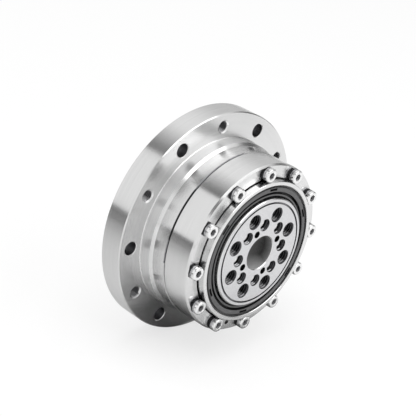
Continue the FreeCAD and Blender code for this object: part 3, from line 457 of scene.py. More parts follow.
    # Acetal spacers between the rollers, a cleaner white with more gloss.
    ACETAL = GrainedFinish("moulded acetal", "#e6e4de", "#d8d5cc", 0.38, metallic=0.0, ior=1.48, mottle=5.0)

    def material(self) -> Material:
        """The node material of this finish."""
        return self.value.material()


def as_mesh(name: str, bm: BMesh) -> Mesh:
    """Turns a bmesh to a mesh.

    Args:
        name: The mesh's name.
        bm: The shape, which is freed.

    Returns:
        The new mesh.
    """
    mesh = bpy.data.meshes.new(name)
    bm.to_mesh(mesh)
    bm.free()
    return mesh


def linked(name: str, data: Any) -> Object:
    """Adds an object to the scene.

    Args:
        name: The object's name.
        data: Its mesh, lamp or lens.

    Returns:
        The object, at the origin.
    """
    held = bpy.data.objects.new(name, data)
    bpy.context.scene.collection.objects.link(held)
    return held


def sort_faces(bm: BMesh, finishes: tuple[Finishes, ...], finish_of: Callable[[BMFace], Finishes]) -> None:
    """Gives each face the number of its finish.

    Args:
        bm: The shape.
        finishes: Its finishes, in the order of their numbers.
        finish_of: Says which finish a face has.
    """
    for face in bm.faces:
        face.material_index = finishes.index(finish_of(face))


def shaped(name: str, bm: BMesh, finishes: tuple[Finishes, ...]) -> Object:
    """Turns a finished bmesh to an object at the origin.

    Args:
        name: The piece's name.
        bm: The shape, which is freed.
        finishes: Its finishes, in the order of its faces' material numbers.

    Returns:
        The object, linked to the scene.
    """
    mesh = as_mesh(name, bm)
    carried = mesh.attributes.get("custom_normal")
    if carried is not None:
        mesh.attributes.remove(carried)
    for finish in finishes:
        mesh.materials.append(finish.material())
    mesh.shade_smooth()
    mesh.set_sharp_from_angle(angle=SOFT_EDGE)
    LOG.info("piece %s: %d faces", name, len(mesh.polygons))
    return linked(name, mesh)


def merged_copy(node: Object) -> BMesh:
    """Copies a CAD node's mesh and joins its loose triangles.

    Args:
        node: The CAD node, which is left as it is.

    Returns:
        The copy.
    """
    bm = bmesh.new()
    bm.from_mesh(node.data)
    bmesh.ops.remove_doubles(bm, verts=bm.verts[:], dist=MERGE)
    return bm


def ring_loop(bm: BMesh, radius: float, station: float, sides: int) -> list[BMEdge]:
    """Adds a circle square to the local axis.

    Args:
        bm: The mesh that gets it.
        radius: Its radius in mm.
        station: Its height along the axis in mm.
        sides: Its number of edges.

    Returns:
        Its edges.
    """
    lift = Matrix.Translation((0.0, 0.0, station * MM))
    made = bmesh.ops.create_circle(bm, cap_ends=False, segments=sides, radius=radius * MM, matrix=lift)
    return list({edge for vert in made["verts"] for edge in vert.link_edges})


def cut_off(bm: BMesh, point: Point, outward: Point) -> None:
    """Cuts off all that lies past a plane.

    Args:
        bm: The mesh that is cut.
        point: A point of the plane in metres.
        outward: The direction of what goes.
    """
    bmesh.ops.bisect_plane(
        bm,
        geom=bm.verts[:] + bm.edges[:] + bm.faces[:],
        plane_co=point,
        plane_no=outward,
        clear_outer=True,
    )


def redraw_wall(bm: BMesh, wall: float, seen: float, behind: float = 0.0) -> None:
    """Draws a round wall about the shaft at another radius.

    Args:
        bm: The mesh, as it lies in the frame.
        wall: The wall's radius in mm.
        seen: The radius that it gets in mm.
        behind: The station in mm behind which corners stay as they are.
    """
    ring = [
        vert
        for vert in bm.verts
        if abs(math.hypot(vert.co.x, vert.co.z) / MM - wall) < HAIR and -vert.co.y / MM > behind
    ]
    bmesh.ops.scale(bm, vec=(seen / wall, 1.0, seen / wall), verts=ring)


@dataclass(frozen=True)
class HoleCircle:
    """A circle of round holes about the shaft.

    The low side of a hole is where the cosine of the angle from straight down is over low_side.
    """

    circle: float
    count: int
    start: float
    hole: float
    low_side: float = 0.74

    def angles(self) -> list[float]:
        """Where the holes stand, in degrees."""
        return [self.start + 360.0 / self.count * k for k in range(self.count)]

    def offset(self, place: Vector) -> tuple[float, float]:
        """Finds how far a point lies from the middle of the nearest hole.

        Args:
            place: The point in metres.

        Returns:
            The way along X and along Z in mm.
        """
        away = [
            (
                place.x / MM - self.circle / 2 * math.cos(math.radians(angle)),
                place.z / MM - self.circle / 2 * math.sin(math.radians(angle)),
            )
            for angle in self.angles()
        ]
        return min(away, key=lambda pair: math.hypot(*pair))

    def holds(self, place: Vector) -> bool:
        """Whether a point lies in one of the holes or just on its wall."""
        return math.hypot(*self.offset(place)) < self.hole / 2 + WALL

    def low(self, place: Vector) -> bool:
        """Whether a point lies on the low side of its hole, where threads get a painted highlight."""
        across, up = self.offset(place)
        return up < -self.low_side * math.hypot(across, up)

    def filled(self, shape: BMesh, own_turn: float = 0.0) -> BMesh:
        """Sets a copy of a shape at each hole and lays them over.

        Args:
            shape: The shape, about its own axis; it is freed.
            own_turn: How far each copy is turned about its own axis past the one before, in degrees.

        Returns:
            All the copies in one mesh.
        """
        source = as_mesh("copied_shape", shape)
        bm = bmesh.new()
        for index, angle in enumerate(self.angles()):
            first = len(bm.verts)
            bm.from_mesh(source)
            bm.verts.ensure_lookup_table()
            place = (
                LAID_OVER
                @ Matrix.Rotation(math.radians(angle), 4, "Z")
                @ Matrix.Translation((self.circle / 2 * MM, 0.0, 0.0))
                @ Matrix.Rotation(math.radians(own_turn * index), 4, "Z")
            )
            bmesh.ops.transform(bm, matrix=place, verts=bm.verts[first:])
        bpy.data.meshes.remove(source)
        return bm


@dataclass(frozen=True)
class TapCircle(HoleCircle):
    """A circle of tapped holes and the thread that is cut in them.

    The crest is flat up to crest_end, and the root between root_ends, as shares of the pitch.
    """

    minor: float = 0.0
    pitch: float = 1.0
    inner_end: float = 0.0
    outer_end: float = 0.0
    crest_end: float = 0.25
    root_ends: tuple[float, float] = (0.56, 0.69)
    crest_band: float = 0.03
    root_band: float = 0.06
    spare_turns: float = 1.5
    steps: int = 24

    def gets_painted_highlight(self, place: Vector) -> bool:
        """Whether a point of the thread gets a painted highlight: on its crests, and on the turns low in the
        hole.
        """
        reach = math.hypot(*self.offset(place))
        on_crest = reach < self.minor / 2 + self.crest_band
        return on_crest or (self.low(place) and reach < self.hole / 2 - self.root_band)

    def cutter(self) -> BMesh:
        """Makes the tap for every hole: a helical thread, cut off square at both ends.

        Returns:
            The closed cutters, laid over at their holes.
        """
        bm = bmesh.new()
        profile = [(self.minor, 0.0), (self.minor, self.crest_end)]
        profile += [(self.hole, share) for share in self.root_ends]
        turns = int((self.outer_end - self.inner_end) / self.pitch) + int(2 * self.spare_turns)
        outline = []
        for turn in range(turns):
            for across, share in profile:
                station = self.inner_end + (turn - self.spare_turns + share) * self.pitch
                outline.append(bm.verts.new((across / 2 * MM, 0.0, station * MM)))
        edges = [bm.edges.new(pair) for pair in zip(outline, outline[1:])]
        bmesh.ops.spin(
            bm,
            geom=outline + edges,
            cent=ORIGIN,
            axis=LOCAL_AXIS,
            dvec=(0.0, 0.0, self.pitch * MM / self.steps),
            angle=math.tau,
            steps=self.steps,
        )
        bmesh.ops.remove_doubles(bm, verts=bm.verts[:], dist=SEAM_MERGE)
        for station, side in ((self.inner_end, -1.0), (self.outer_end, 1.0)):
            cut_off(bm, (0.0, 0.0, station * MM), (0.0, 0.0, side))
        bmesh.ops.holes_fill(bm, edges=[e for e in bm.edges if e.is_boundary], sides=0)
        bmesh.ops.recalc_face_normals(bm, faces=bm.faces[:])
        return self.filled(bm)

    def tapped_copy(self, node: Object) -> BMesh:
        """Cuts the threads in a copy of a CAD node.

        Args:
            node: The CAD node, which is left as it is.

        Returns:
            The cut copy.
        """
        blank = as_mesh("blank", merged_copy(node))
        tool = as_mesh("taps", self.cutter())
        work, cutters = linked("blank", blank), linked("taps", tool)
        cut = work.modifiers.new("threads", "BOOLEAN")
        cut.operation = "DIFFERENCE"
        cut.solver = "EXACT"
        cut.object = cutters
        graph = bpy.context.evaluated_depsgraph_get()
        done = bpy.data.meshes.new_from_object(work.evaluated_get(graph), depsgraph=graph)
        bm = bmesh.new()
        bm.from_mesh(done)
        for mesh in (blank, tool, done):
            bpy.data.meshes.remove(mesh)
        return bm


@dataclass
class SplineHousing:
    """The flanged toothed ring, whose flange has plain and tapped mounting holes.

    The chamfer at the seam is bare on the right and low down; on the left above that it carries painted
    shade, black within black_heights and mid grey elsewhere.
    """

    node: str = "circular_spline"
    thickness: float = 10.0
    mouth_depth: float = 0.42
    register: float = 36.0
    register_band: float = 0.1
    seam_inner: float = 34.5
    seam_chamfer: float = 21.72
    seam_end: float = 22.0
    seam_shade_above: float = -2.0
    black_heights: tuple[float, float] = (8.0, 26.0)
    plain_holes: HoleCircle = HoleCircle(82.0, 6, 0.0, 5.5)
    taps: TapCircle = TapCircle(
        82.0, 6, 30.0, 5.0, minor=4.24, pitch=0.8, inner_end=-1.0, outer_end=11.0
    )
    finishes: tuple[Finishes, ...] = (
        Finishes.HOUSING,
        Finishes.SOFT_SHADE,
        Finishes.TAPPED,
        Finishes.REGISTER,
        Finishes.EDGE,
        Finishes.HIGHLIT_THREAD,
        Finishes.DEEP_SHADE,
    )

    def build(self, frame: dict[str, Any]) -> None:
        """Cuts the flange threads and sorts the faces by finish.

        Args:
            frame: The loaded frame.
        """
        bm = self.taps.tapped_copy(frame["nodes"][self.node])
        sort_faces(bm, self.finishes, self.finish_of)
        piece = shaped("flanged_spline_ring", bm, self.finishes)
        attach(piece, "housing")
        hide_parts(self.node)

    def finish_of(self, face: BMFace) -> Finishes:
        """Finds the finish of one face.

        Args:
            face: The face, as it lies in the frame.

        Returns:
            That of its thread, hole, seam or register, or else turned steel.
        """
        place = face.calc_center_median()
        station, height = -place.y / MM, place.z / MM
        reach = math.hypot(place.x, place.z) / MM
        # Tapped holes carry painted shade, with a painted highlight on the crests and the low side.
        if self.mouth_depth < station < self.thickness - self.mouth_depth and self.taps.holds(place):
            return Finishes.HIGHLIT_THREAD if self.taps.gets_painted_highlight(place) else Finishes.TAPPED
        if abs(face.normal.y) > FACING:
            # The end face in the seam carries deep painted shade.
            return Finishes.DEEP_SHADE if station > self.seam_end - HAIR else Finishes.HOUSING
        # Plain holes carry a soft painted shade.
        if self.plain_holes.holds(place):
            return Finishes.SOFT_SHADE
        # The seam chamfer's upper left carries painted shade: black in a band of heights, mid grey elsewhere.
        if reach > self.seam_inner and station > self.seam_chamfer:
            if place.x > 0.0 or height < self.seam_shade_above:
                return Finishes.EDGE
            black = self.black_heights[0] < height < self.black_heights[1]
            return Finishes.DEEP_SHADE if black else Finishes.SOFT_SHADE
        return Finishes.REGISTER if abs(reach - self.register) < self.register_band else Finishes.HOUSING


@dataclass
class FrontRing:
    """The ground front ring, whose seam groove and the relief at the collar foot carry black painted shade.
    """

    node: str = "bearing_outer_ring"
    groove_end: float = 22.6
    groove_floor: float = 34.1
    ledge: float = 34.2
    relief: tuple[float, float] = (29.15, 30.05)
    relief_seen: float = 29.7
    finishes: tuple[Finishes, ...] = (Finishes.RING, Finishes.DEEP_SHADE)

    def build(self, frame: dict[str, Any]) -> None:
        """Sorts the faces by finish and narrows the relief at the foot of the collar.

        Args:
            frame: The loaded frame.
        """
        bm = merged_copy(frame["nodes"][self.node])
        sort_faces(bm, self.finishes, self.finish_of)
        redraw_wall(bm, self.relief[1], self.relief_seen)
        piece = shaped("stepped_front_ring", bm, self.finishes)
        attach(piece, "housing")
        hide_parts(self.node)

    def finish_of(self, face: BMFace) -> Finishes:
        """Finds the finish of one face.

        Args:
            face: The face, as it lies in the frame.

        Returns:
            Deep painted shade in the seam groove and the relief, or else ground steel.
        """
        place = face.calc_center_median() / MM
        reach, station = math.hypot(place.x, place.z), -place.y
        in_groove = station < self.groove_end + HAIR and reach > self.groove_floor - HAIR
        in_foot = self.relief[0] - HAIR < reach < self.relief[1] + HAIR and station < self.ledge - HAIR
        return Finishes.DEEP_SHADE if in_groove or in_foot else Finishes.RING


@dataclass
class OutputFlange:
    """The output disc: a blasted face with eight tapped holes, a turned neck and a coated bore.

    The ridge fields give the turns of thread ahead of the cup screws; ridge_shares are of their pitch.
    """

    node: str = "output_flange"
    face_station: float = 38.0
    groove_walls: tuple[float, float] = (20.5, 21.05)
    groove_seen: tuple[float, float] = (20.4, 21.15)
    groove_under: float = 1.0
    bore: float = 7.0
    dark_mouth: float = 0.45
    screw_pitch: float = 0.8
    screw_end: float = 35.8
    ridge_gaps: tuple[float, float] = (0.05, 0.12)
    ridge_foot: float = 0.04
    ridge_height: float = 0.3
    ridge_shares: tuple[float, float, float] = (0.34, 0.46, 0.8)
    ridge_steps: int = 40
    screw_holes: HoleCircle = HoleCircle(24.0, 8, 0.0, 5.04, low_side=0.86)
    dowel_holes: HoleCircle = HoleCircle(19.2, 4, 22.5, 2.84)
    taps: TapCircle = TapCircle(
        32.0, 8, 22.5, 6.0, minor=5.04, pitch=1.0, inner_end=27.4, outer_end=39.0
    )
    finishes: tuple[Finishes, ...] = (
        Finishes.OUTPUT,
        Finishes.OUTPUT_FACE,
        Finishes.SHADED_THREAD,
        Finishes.DEEP_SHADE,
        Finishes.BORED,
        Finishes.HIGHLIT_THREAD,
        Finishes.SOFT_SHADE,
    )
    ridge_finishes: tuple[Finishes, ...] = (Finishes.SHADED_THREAD, Finishes.HIGHLIT_THREAD)

    def build(self, frame: dict[str, Any]) -> None:
        """Cuts the threads, sorts the faces by finish and widens the groove in the face.

        Args:
            frame: The loaded frame.
        """
        bm = self.taps.tapped_copy(frame["nodes"][self.node])
        sort_faces(bm, self.finishes, self.finish_of)
        for wall, seen in zip(self.groove_walls, self.groove_seen):
            redraw_wall(bm, wall, seen, self.face_station - self.groove_under)
        piece = shaped("threaded_output_disc", bm, self.finishes)
        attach(piece, "output")
        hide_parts(self.node)

    def finish_of(self, face: BMFace) -> Finishes:
        """Finds the finish of one face.

        Args:
            face: The face, as it lies in the frame.

        Returns:
            That of the front face, its thread, hole, bore or groove, or else turned steel.
        """
        place = face.calc_center_median()
        reach, station = math.hypot(place.x, place.z) / MM, -place.y / MM
        if face.normal.y < -FLAT and station > self.face_station - HAIR:
            return Finishes.OUTPUT_FACE
        # Tapped holes carry painted shade with a painted highlight on the crests and the low side below the
        # mouth; the cup screw holes carry painted shade.
        if self.taps.holds(place):
            bright = self.taps.gets_painted_highlight(place) and self.below_mouth(place)
            return Finishes.HIGHLIT_THREAD if bright else Finishes.SHADED_THREAD
        if self.screw_holes.holds(place):
            return Finishes.SHADED_THREAD
        if reach < self.bore + WALL:
            return Finishes.BORED
        # The groove in the face carries a soft painted shade, and the dowel holes a deep one.
        inner, outer = self.groove_walls
        if inner - WALL < reach < outer + WALL and station > self.face_station - self.groove_under:
            return Finishes.SOFT_SHADE
        return Finishes.DEEP_SHADE if self.dowel_holes.holds(place) else Finishes.OUTPUT

    def below_mouth(self, place: Vector) -> bool:
        """Whether a point lies deeper than the mouth of its hole; the mouth gets no painted highlight and
        stays dark.
        """
        return -place.y / MM < self.face_station - self.dark_mouth

    def ridge_finish_of(self, face: BMFace) -> Finishes:
        """The finish of one face of the ridges: a painted highlight on the low side, or else painted shade.
        """
        place = face.calc_center_median()
        bright = self.screw_holes.low(place) and self.below_mouth(place)
        return Finishes.HIGHLIT_THREAD if bright else Finishes.SHADED_THREAD

    def screw_threads(self) -> None:
        """Adds the turns of thread that show ahead of the cup screws' ends, as helical ridges."""
        bm = bmesh.new()
        foot = self.screw_holes.hole / 2 + self.ridge_foot
        crest = self.screw_holes.hole / 2 - self.ridge_height
        crest_start, crest_end, ridge_end = self.ridge_shares
        low = self.screw_end + self.ridge_gaps[0]
        corners = [
            bm.verts.new((radius * MM, 0.0, (low + share * self.screw_pitch) * MM))
            for radius, share in ((foot, 0.0), (crest, crest_start), (crest, crest_end), (foot, ridge_end))
        ]
        section = bm.faces.new(corners)
        climb = self.face_station - self.ridge_gaps[1] - low - ridge_end * self.screw_pitch
        bmesh.ops.spin(
            bm,
            geom=[section],
            cent=ORIGIN,
            axis=LOCAL_AXIS,
            dvec=(0.0, 0.0, climb * MM / self.ridge_steps),
            angle=math.tau * climb / self.screw_pitch,
            steps=self.ridge_steps,
        )
        bmesh.ops.recalc_face_normals(bm, faces=bm.faces[:])
        bm = self.screw_holes.filled(bm)
        sort_faces(bm, self.ridge_finishes, self.ridge_finish_of)
        piece = shaped("cup_screw_threads", bm, self.ridge_finishes)
        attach(piece, "output")


@dataclass
class CupScrews:
    """The eight screws that clamp the cup, whose rolled threads leave a dished end."""

    node: str = "flexspline_screws"
    end: float = 35.8
    rim: float = 0.3
    dish: float = 0.95

    def build(self, frame: dict[str, Any]) -> None:
        """Sinks a shallow cone in the end of each screw.

        Args:
            frame: The loaded frame.
        """
        bm = merged_copy(frame["nodes"][self.node])
        ends = [face for face in bm.faces if -face.calc_center_median().y / MM > self.end - HAIR]
        flats = bmesh.ops.dissolve_faces(bm, faces=ends, use_verts=False)["region"]
        bmesh.ops.inset_individual(bm, faces=flats, thickness=self.rim * MM, use_even_offset=True)
        bmesh.ops.poke(bm, faces=flats, offset=-self.dish * MM)
        piece = shaped("dished_cup_screws", bm, (Finishes.CUP_SCREW,))
        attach(piece, "output")
        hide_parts(self.node)


@dataclass
class RingScrews:
    """The twelve cap screws of the front ring, with knurled heads and hexagon sockets.

    The pairs in crown say how far in from the head's side and how far below its top each circle of
    its rounding lies. Circles that are bridged lie apart by nudge, because level ones would twist.
    """

    places: HoleCircle = HoleCircle(64.0, 12, 0.0, 3.0)
    own_turn: float = 23.0
    seat: float = 34.2
    length: float = 20.0
    point: float = 0.4
    head: float = 5.5
    height: float = 3.0
    foot: float = 0.22
    foot_band: float = 0.3
    ridges: int = 66
    ridge_depth: float = 0.02
    ridge_band: float = 0.06
    ridge_end: float = 0.5
    foot_shade_top: float = 0.85
    rolled: float = 1.8
    crown: Pairs = ((0.1, 0.36), (0.16, 0.2), (0.3, 0.06), (0.46, 0.0))
    socket: float = 2.5
    socket_depth: float = 1.5
    socket_rim: float = 0.04
    socket_mouth: float = 0.12
    socket_bright: float = 0.16
    cone: float = 0.35
    nudge: float = 0.02
    finishes: tuple[Finishes, ...] = (Finishes.SCREW, Finishes.SOCKET, Finishes.KNURL, Finishes.ROLLED)

    def build(self) -> None:
        """Builds one screw from loops and sets twelve of them on the ledge."""
        bm = bmesh.new()
        sides = 2 * self.ridges
        radius, shank = self.head / 2, self.places.hole / 2
        floor = self.height - self.socket_depth
        loops = [
            ring_loop(bm, shank - self.point, -self.length, sides),
            ring_loop(bm, shank, self.point - self.length, sides),
            ring_loop(bm, shank, 0.0, sides),
            ring_loop(bm, radius - self.foot, self.nudge, sides),
        ]
        for station in (self.foot, self.foot_shade_top, self.rolled, self.height - self.ridge_end):
            loops.append(self.knurled_loop(bm, station, sides))
        for inward, drop in self.crown:
            loops.append(ring_loop(bm, radius - inward, self.height - drop, sides))
        loops.append(ring_loop(bm, self.corner() + self.socket_rim, self.height - self.nudge, sides))
        for station in (self.height - self.socket_mouth, floor):
            loops.append(self.hexagon_loop(bm, station, sides))
        loops.append(ring_loop(bm, self.cone, floor - self.cone, sides))
        for lower, upper in zip(loops, loops[1:]):
            bmesh.ops.bridge_loops(bm, edges=lower + upper)
        for end in (loops[0], loops[-1]):
            bmesh.ops.edgeloop_fill(bm, edges=end)
        bmesh.ops.recalc_face_normals(bm, faces=bm.faces[:])
        sort_faces(bm, self.finishes, self.finish_of)
        bmesh.ops.translate(bm, vec=(0.0, 0.0, self.seat * MM), verts=bm.verts[:])
        bm = self.places.filled(bm, self.own_turn)
        piece = shaped("knurled_ring_screws", bm, self.finishes)
        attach(piece, "housing")
        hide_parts("ring_screws")

    def corner(self) -> float:
        """How far the socket's corners lie from its middle, in mm."""
        return self.socket / math.sqrt(3)

    def finish_of(self, face: BMFace) -> Finishes:
        """Finds the finish of one face.

        Args:
            face: The face of a screw that isn't yet on its seat.

        Returns:
            That of the socket walls, the painted shade on the socket floor and the foot, the rolled side, or
            else plated steel.
        """
        place = face.calc_center_median() / MM
        reach, side = math.hypot(place.x, place.y), self.head / 2
        if reach < self.corner() - self.nudge and 0.0 < place.z < self.height - self.socket_bright:
            # Painted shade on the socket floor, below the walls.
            return Finishes.SOCKET if place.z > self.height - self.socket_depth else Finishes.KNURL
        # Painted shade round the foot of the head.
        if reach > side - self.foot_band and place.z < self.foot_shade_top:
            return Finishes.KNURL
        return Finishes.ROLLED if reach > side - self.ridge_band and place.z < self.rolled else Finishes.SCREW

    def knurled_loop(self, bm: BMesh, station: float, sides: int) -> list[BMEdge]:
        """Adds a circle whose every other corner is drawn in.

        Args:
            bm: The mesh that gets it.
            station: Its height in mm.
            sides: Its number of edges.

        Returns:
            Its edges.
        """
        edges = ring_loop(bm, self.head / 2, station, sides)
        corners = {vert for edge in edges for vert in edge.verts}
        by_angle = sorted(corners, key=lambda vert: math.atan2(vert.co.y, vert.co.x))
        shrink = 1.0 - 2 * self.ridge_depth / self.head
        bmesh.ops.scale(bm, vec=(shrink, shrink, 1.0), verts=by_angle[::2])
        return edges

    def hexagon_loop(self, bm: BMesh, station: float, sides: int) -> list[BMEdge]:
        """Adds a hexagon with as many corners as the circles that it is bridged to.

        Args:
            bm: The mesh that gets it.
            station: Its height in mm.
            sides: Its number of edges.

        Returns:
            Its edges.
        """
        edges = ring_loop(bm, self.corner(), station, 6)
        bmesh.ops.subdivide_edges(bm, edges=edges, cuts=sides // 6 - 1)
        return [
            edge for edge in bm.edges if all(abs(vert.co.z - station * MM) < MERGE for vert in edge.verts)
        ]


@dataclass
class OutputSeal:
    """The lip seal round the output neck, with six short moulded slots.

    The pairs in the round fields and the lip fields say how far a corner lies across and along the
    shaft from the edge that they round or the lip that they shape.
    """

    wall: float = 27.48
    skirt: float = 1.0
    back: float = 33.55
    front: float = 37.0
    step: float = 26.6
    step_drop: float = 1.3
    step_foot_round: Pairs = ((0.1, 0.0), (0.0, 0.08))
    step_round: Pairs = ((0.06, 0.08), (0.2, 0.0))
    line_outer: float = 24.85
    line_depth: float = 1.9
    line_round: Pairs = ((0.18, 0.0), (0.05, 0.06), (0.0, 0.2))
    bead_outer: float = 23.88
    bead_inner: float = 23.15
    bead_rise: float = -0.2
    bead_round: Pairs = ((0.0, 0.15), (0.03, 0.05), (0.09, 0.0))
    lip_front: float = 35.1
    lip_nose: Pairs = ((0.3, 0.0), (0.0, 0.45))
    lip_back: Pairs = ((0.5, 0.3), (1.1, 0.0))
    web: float = 0.7
    bore: float = 22.53
    shade_drop: float = 0.16
    slots: int = 6
    slot_outer: float = 26.3
    slot_inner: float = 25.4
    slot_first: float = 24.0
    slot_length: float = 9.0
    slot_depth: float = 1.1
    slot_draft: float = 0.07
    steps: int = 240
    finishes: tuple[Finishes, ...] = (Finishes.RUBBER, Finishes.SHADED_RUBBER)

    def build(self) -> None:
        """Spins the seal's section and sinks the slots in its face."""
        bm = bmesh.new()
        corners = [bm.verts.new((radius * MM, 0.0, station * MM)) for radius, station in self.section()]
        edges = [bm.edges.new(pair) for pair in zip(corners, corners[1:] + corners[:1])]
        bmesh.ops.spin(
            bm,
            geom=corners + edges,
            cent=ORIGIN,
            axis=LOCAL_AXIS,
            angle=math.tau,
            steps=self.steps,
            use_merge=True,
        )
        bmesh.ops.recalc_face_normals(bm, faces=bm.faces[:])
        sort_faces(bm, self.finishes, self.finish_of)
        for index in range(self.slots):
            angle = self.slot_first + 360.0 / self.slots * index
            slot = [face for face in bm.faces if self.in_slot(face, angle)]
            walls = bmesh.ops.inset_region(
                bm,
                faces=slot,
                thickness=self.slot_draft * MM,
                depth=-self.slot_depth * MM,
                use_even_offset=True,
            )["faces"]
            # The slots carry painted shade.
            for face in slot + walls:
                face.material_index = self.finishes.index(Finishes.SHADED_RUBBER)
        bmesh.ops.transform(bm, matrix=LAID_OVER, verts=bm.verts[:])
        piece = shaped("lip_seal", bm, self.finishes)
        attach(piece, "housing")
        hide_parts("output_seal")

    def section(self) -> list[tuple[float, float]]:
        """Lists the corners of the seal's section.

        Returns:
            Pairs of a radius and a station in mm, round the section.
        """
        shelf = self.front - self.step_drop
        crown = self.front + self.bead_rise
        groove = self.front - self.line_depth
        web = self.lip_front - self.web
        corners = [(self.wall, self.back), (self.wall, shelf)]
        corners += [(self.step + out, shelf + up) for out, up in self.step_foot_round]
        corners += [(self.step - inward, self.front - down) for inward, down in self.step_round]
        corners += [(self.slot_outer, self.front), (self.slot_inner, self.front)]
        corners += [(self.line_outer + out, self.front - down) for out, down in self.line_round]
        corners += [(self.line_outer, groove), (self.bead_outer, groove)]
        corners += [(self.bead_outer - inward, crown - down) for inward, down in self.bead_round]
        corners += [(self.bead_inner + out, crown - down) for out, down in self.bead_round[::-1]]
        corners.append((self.bead_inner, self.lip_front))
        corners += [(self.bore + out, self.lip_front - down) for out, down in self.lip_nose]
        corners += [(self.bore + out, web - down) for out, down in self.lip_back]
        return corners + [(self.wall - self.skirt, web), (self.wall - self.skirt, self.back)]

    def finish_of(self, face: BMFace) -> Finishes:
        """The finish of one face: painted shade beside and inside the bead, or else bare rubber."""
        place = face.calc_center_median() / MM
        inside = math.hypot(place.x, place.y) < self.line_outer + HAIR
        deep = place.z < self.front + self.bead_rise - self.shade_drop
        return Finishes.SHADED_RUBBER if inside and deep else Finishes.RUBBER

    def in_slot(self, face: BMFace, angle: float) -> bool:
        """Finds whether a face belongs to a slot.

        Args:
            face: A face of the seal.
            angle: Where the slot's middle stands, in degrees.

        Returns:
            Whether it does.
        """
        place = face.calc_center_median() / MM
        reach = math.hypot(place.x, place.y)
        turned = math.degrees(math.atan2(place.y, place.x)) - angle
        off = abs((turned + 180.0) % 360.0 - 180.0)
        level = abs(place.z - self.front) < HAIR
        return level and self.slot_inner < reach < self.slot_outer and off < self.slot_length / 2


@dataclass
class FlexCup:
    """The thin toothed cup, whose rim follows the cam while its boss stays with the output."""

    node: str = "flexspline"
    boss_station: float = 19.5
    rim_station: float = 12.0

    def build(self, frame: dict[str, Any]) -> None:
        """Shows the cup as a dressed copy of the CAD node, baked in place.

        Args:
            frame: The loaded frame.
        """
        piece = shaped("flexing_cup", merged_copy(frame["nodes"][self.node]), (Finishes.CUP,))
        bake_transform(piece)
        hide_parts(self.node)


@dataclass
class PlainPieces:
    """The pieces whose CAD shape is shown as it is and only needs its finish."""

    frame: dict[str, Any]

    def dress(self) -> None:
        """Gives each carried node its finish."""
        worn = {
            "roller_plug": Finishes.RING,
            "roller_plug_pin": Finishes.BLACK,
            "body_o_ring": Finishes.RUBBER,
            "crossed_rollers": Finishes.BEARING,
            "roller_spacers": Finishes.ACETAL,
            "clamp_ring": Finishes.CAM,
            "dowel_pins": Finishes.CUP_SCREW,
            "cam_plug": Finishes.CAM,
            "cam_outer_race": Finishes.BEARING,
            "cam_inner_race": Finishes.BEARING,
            "cam_balls": Finishes.BEARING,
            "cam_ball_cage": Finishes.NYLON,
            "oldham_insert": Finishes.BRONZE,
            "input_hub": Finishes.HUB,
            "hub_set_screws": Finishes.BLACK,
            "hub_washer": Finishes.BRONZE,
            "hub_snap_ring": Finishes.BLACK,
        }
        for name, finish in worn.items():
            self.frame["nodes"][name].data.materials[0] = finish.material()
            LOG.info("node %s: %s", name, finish.value.name)


def staged(name: str, bm: BMesh, material: Material) -> Object:
    """Turns a bmesh to an object that stands by the gearbox and isn't part of it.

    Args:
        name: The object's name.
        bm: Its shape, which is freed.
        material: What it is made of.

    Returns:
        The staged object.
    """
    mesh = as_mesh(name, bm)
    mesh.materials.append(material)
    thing = linked(name, mesh)
    return thing


@dataclass
class DarkCard:
    """A studio card of black cloth that only reflections see. Laid on the floor, the same card is painted
    floor shade.

    Its stops are pairs of a place on the card, in order, and how dark it is there.
    """

    name: str
    stops: Pairs

    def dark_at(self, place: float) -> float:
        """Reads how dark the card is off straight lines between its stops.

        Args:
            place: The place to read.

        Returns:
            From 0, not there, to 1, black. Past the last stop at either end it stays the same.
        """
        if place <= self.stops[0][0]:
            return self.stops[0][1]
        for (low, first), (high, last) in zip(self.stops, self.stops[1:]):
            if place <= high:
                return first + (last - first) * (place - low) / (high - low)
        return self.stops[-1][1]

    def cloth(self) -> Material:
        """Makes the cloth, or gives the one already made.

        Returns:
            A near black that covers as much as the vertex layer "dark" says.
        """
        name = "black flag cloth and painted floor shade"
        made = bpy.data.materials.get(name)
        if made is not None:
            return made
        made = bare_material(name)
        tree = made.node_tree
        dark = add_node(tree, "ShaderNodeAttribute", {"attribute_name": "dark"}).outputs["Fac"]
        clear = add_node(tree, "ShaderNodeBsdfTransparent").outputs[0]
        black = add_node(tree, "ShaderNodeEmission", inputs={"Color": linear("#202020")}).outputs[0]
        mixed = add_node(tree, "ShaderNodeMixShader", inputs={0: dark, 1: clear, 2: black}).outputs[0]
        add_node(tree, "ShaderNodeOutputMaterial", inputs={"Surface": mixed})
        return made

    def hang(self, bm: BMesh) -> None:
        """Stages the card, hidden from all but reflections.

        Args:
            bm: Its shape with the vertex layer "dark"; it is freed.
        """
        card = staged(self.name, bm, self.cloth())
        card.visible_camera = False
        card.visible_diffuse = False
        card.visible_shadow = False
        card.visible_transmission = False


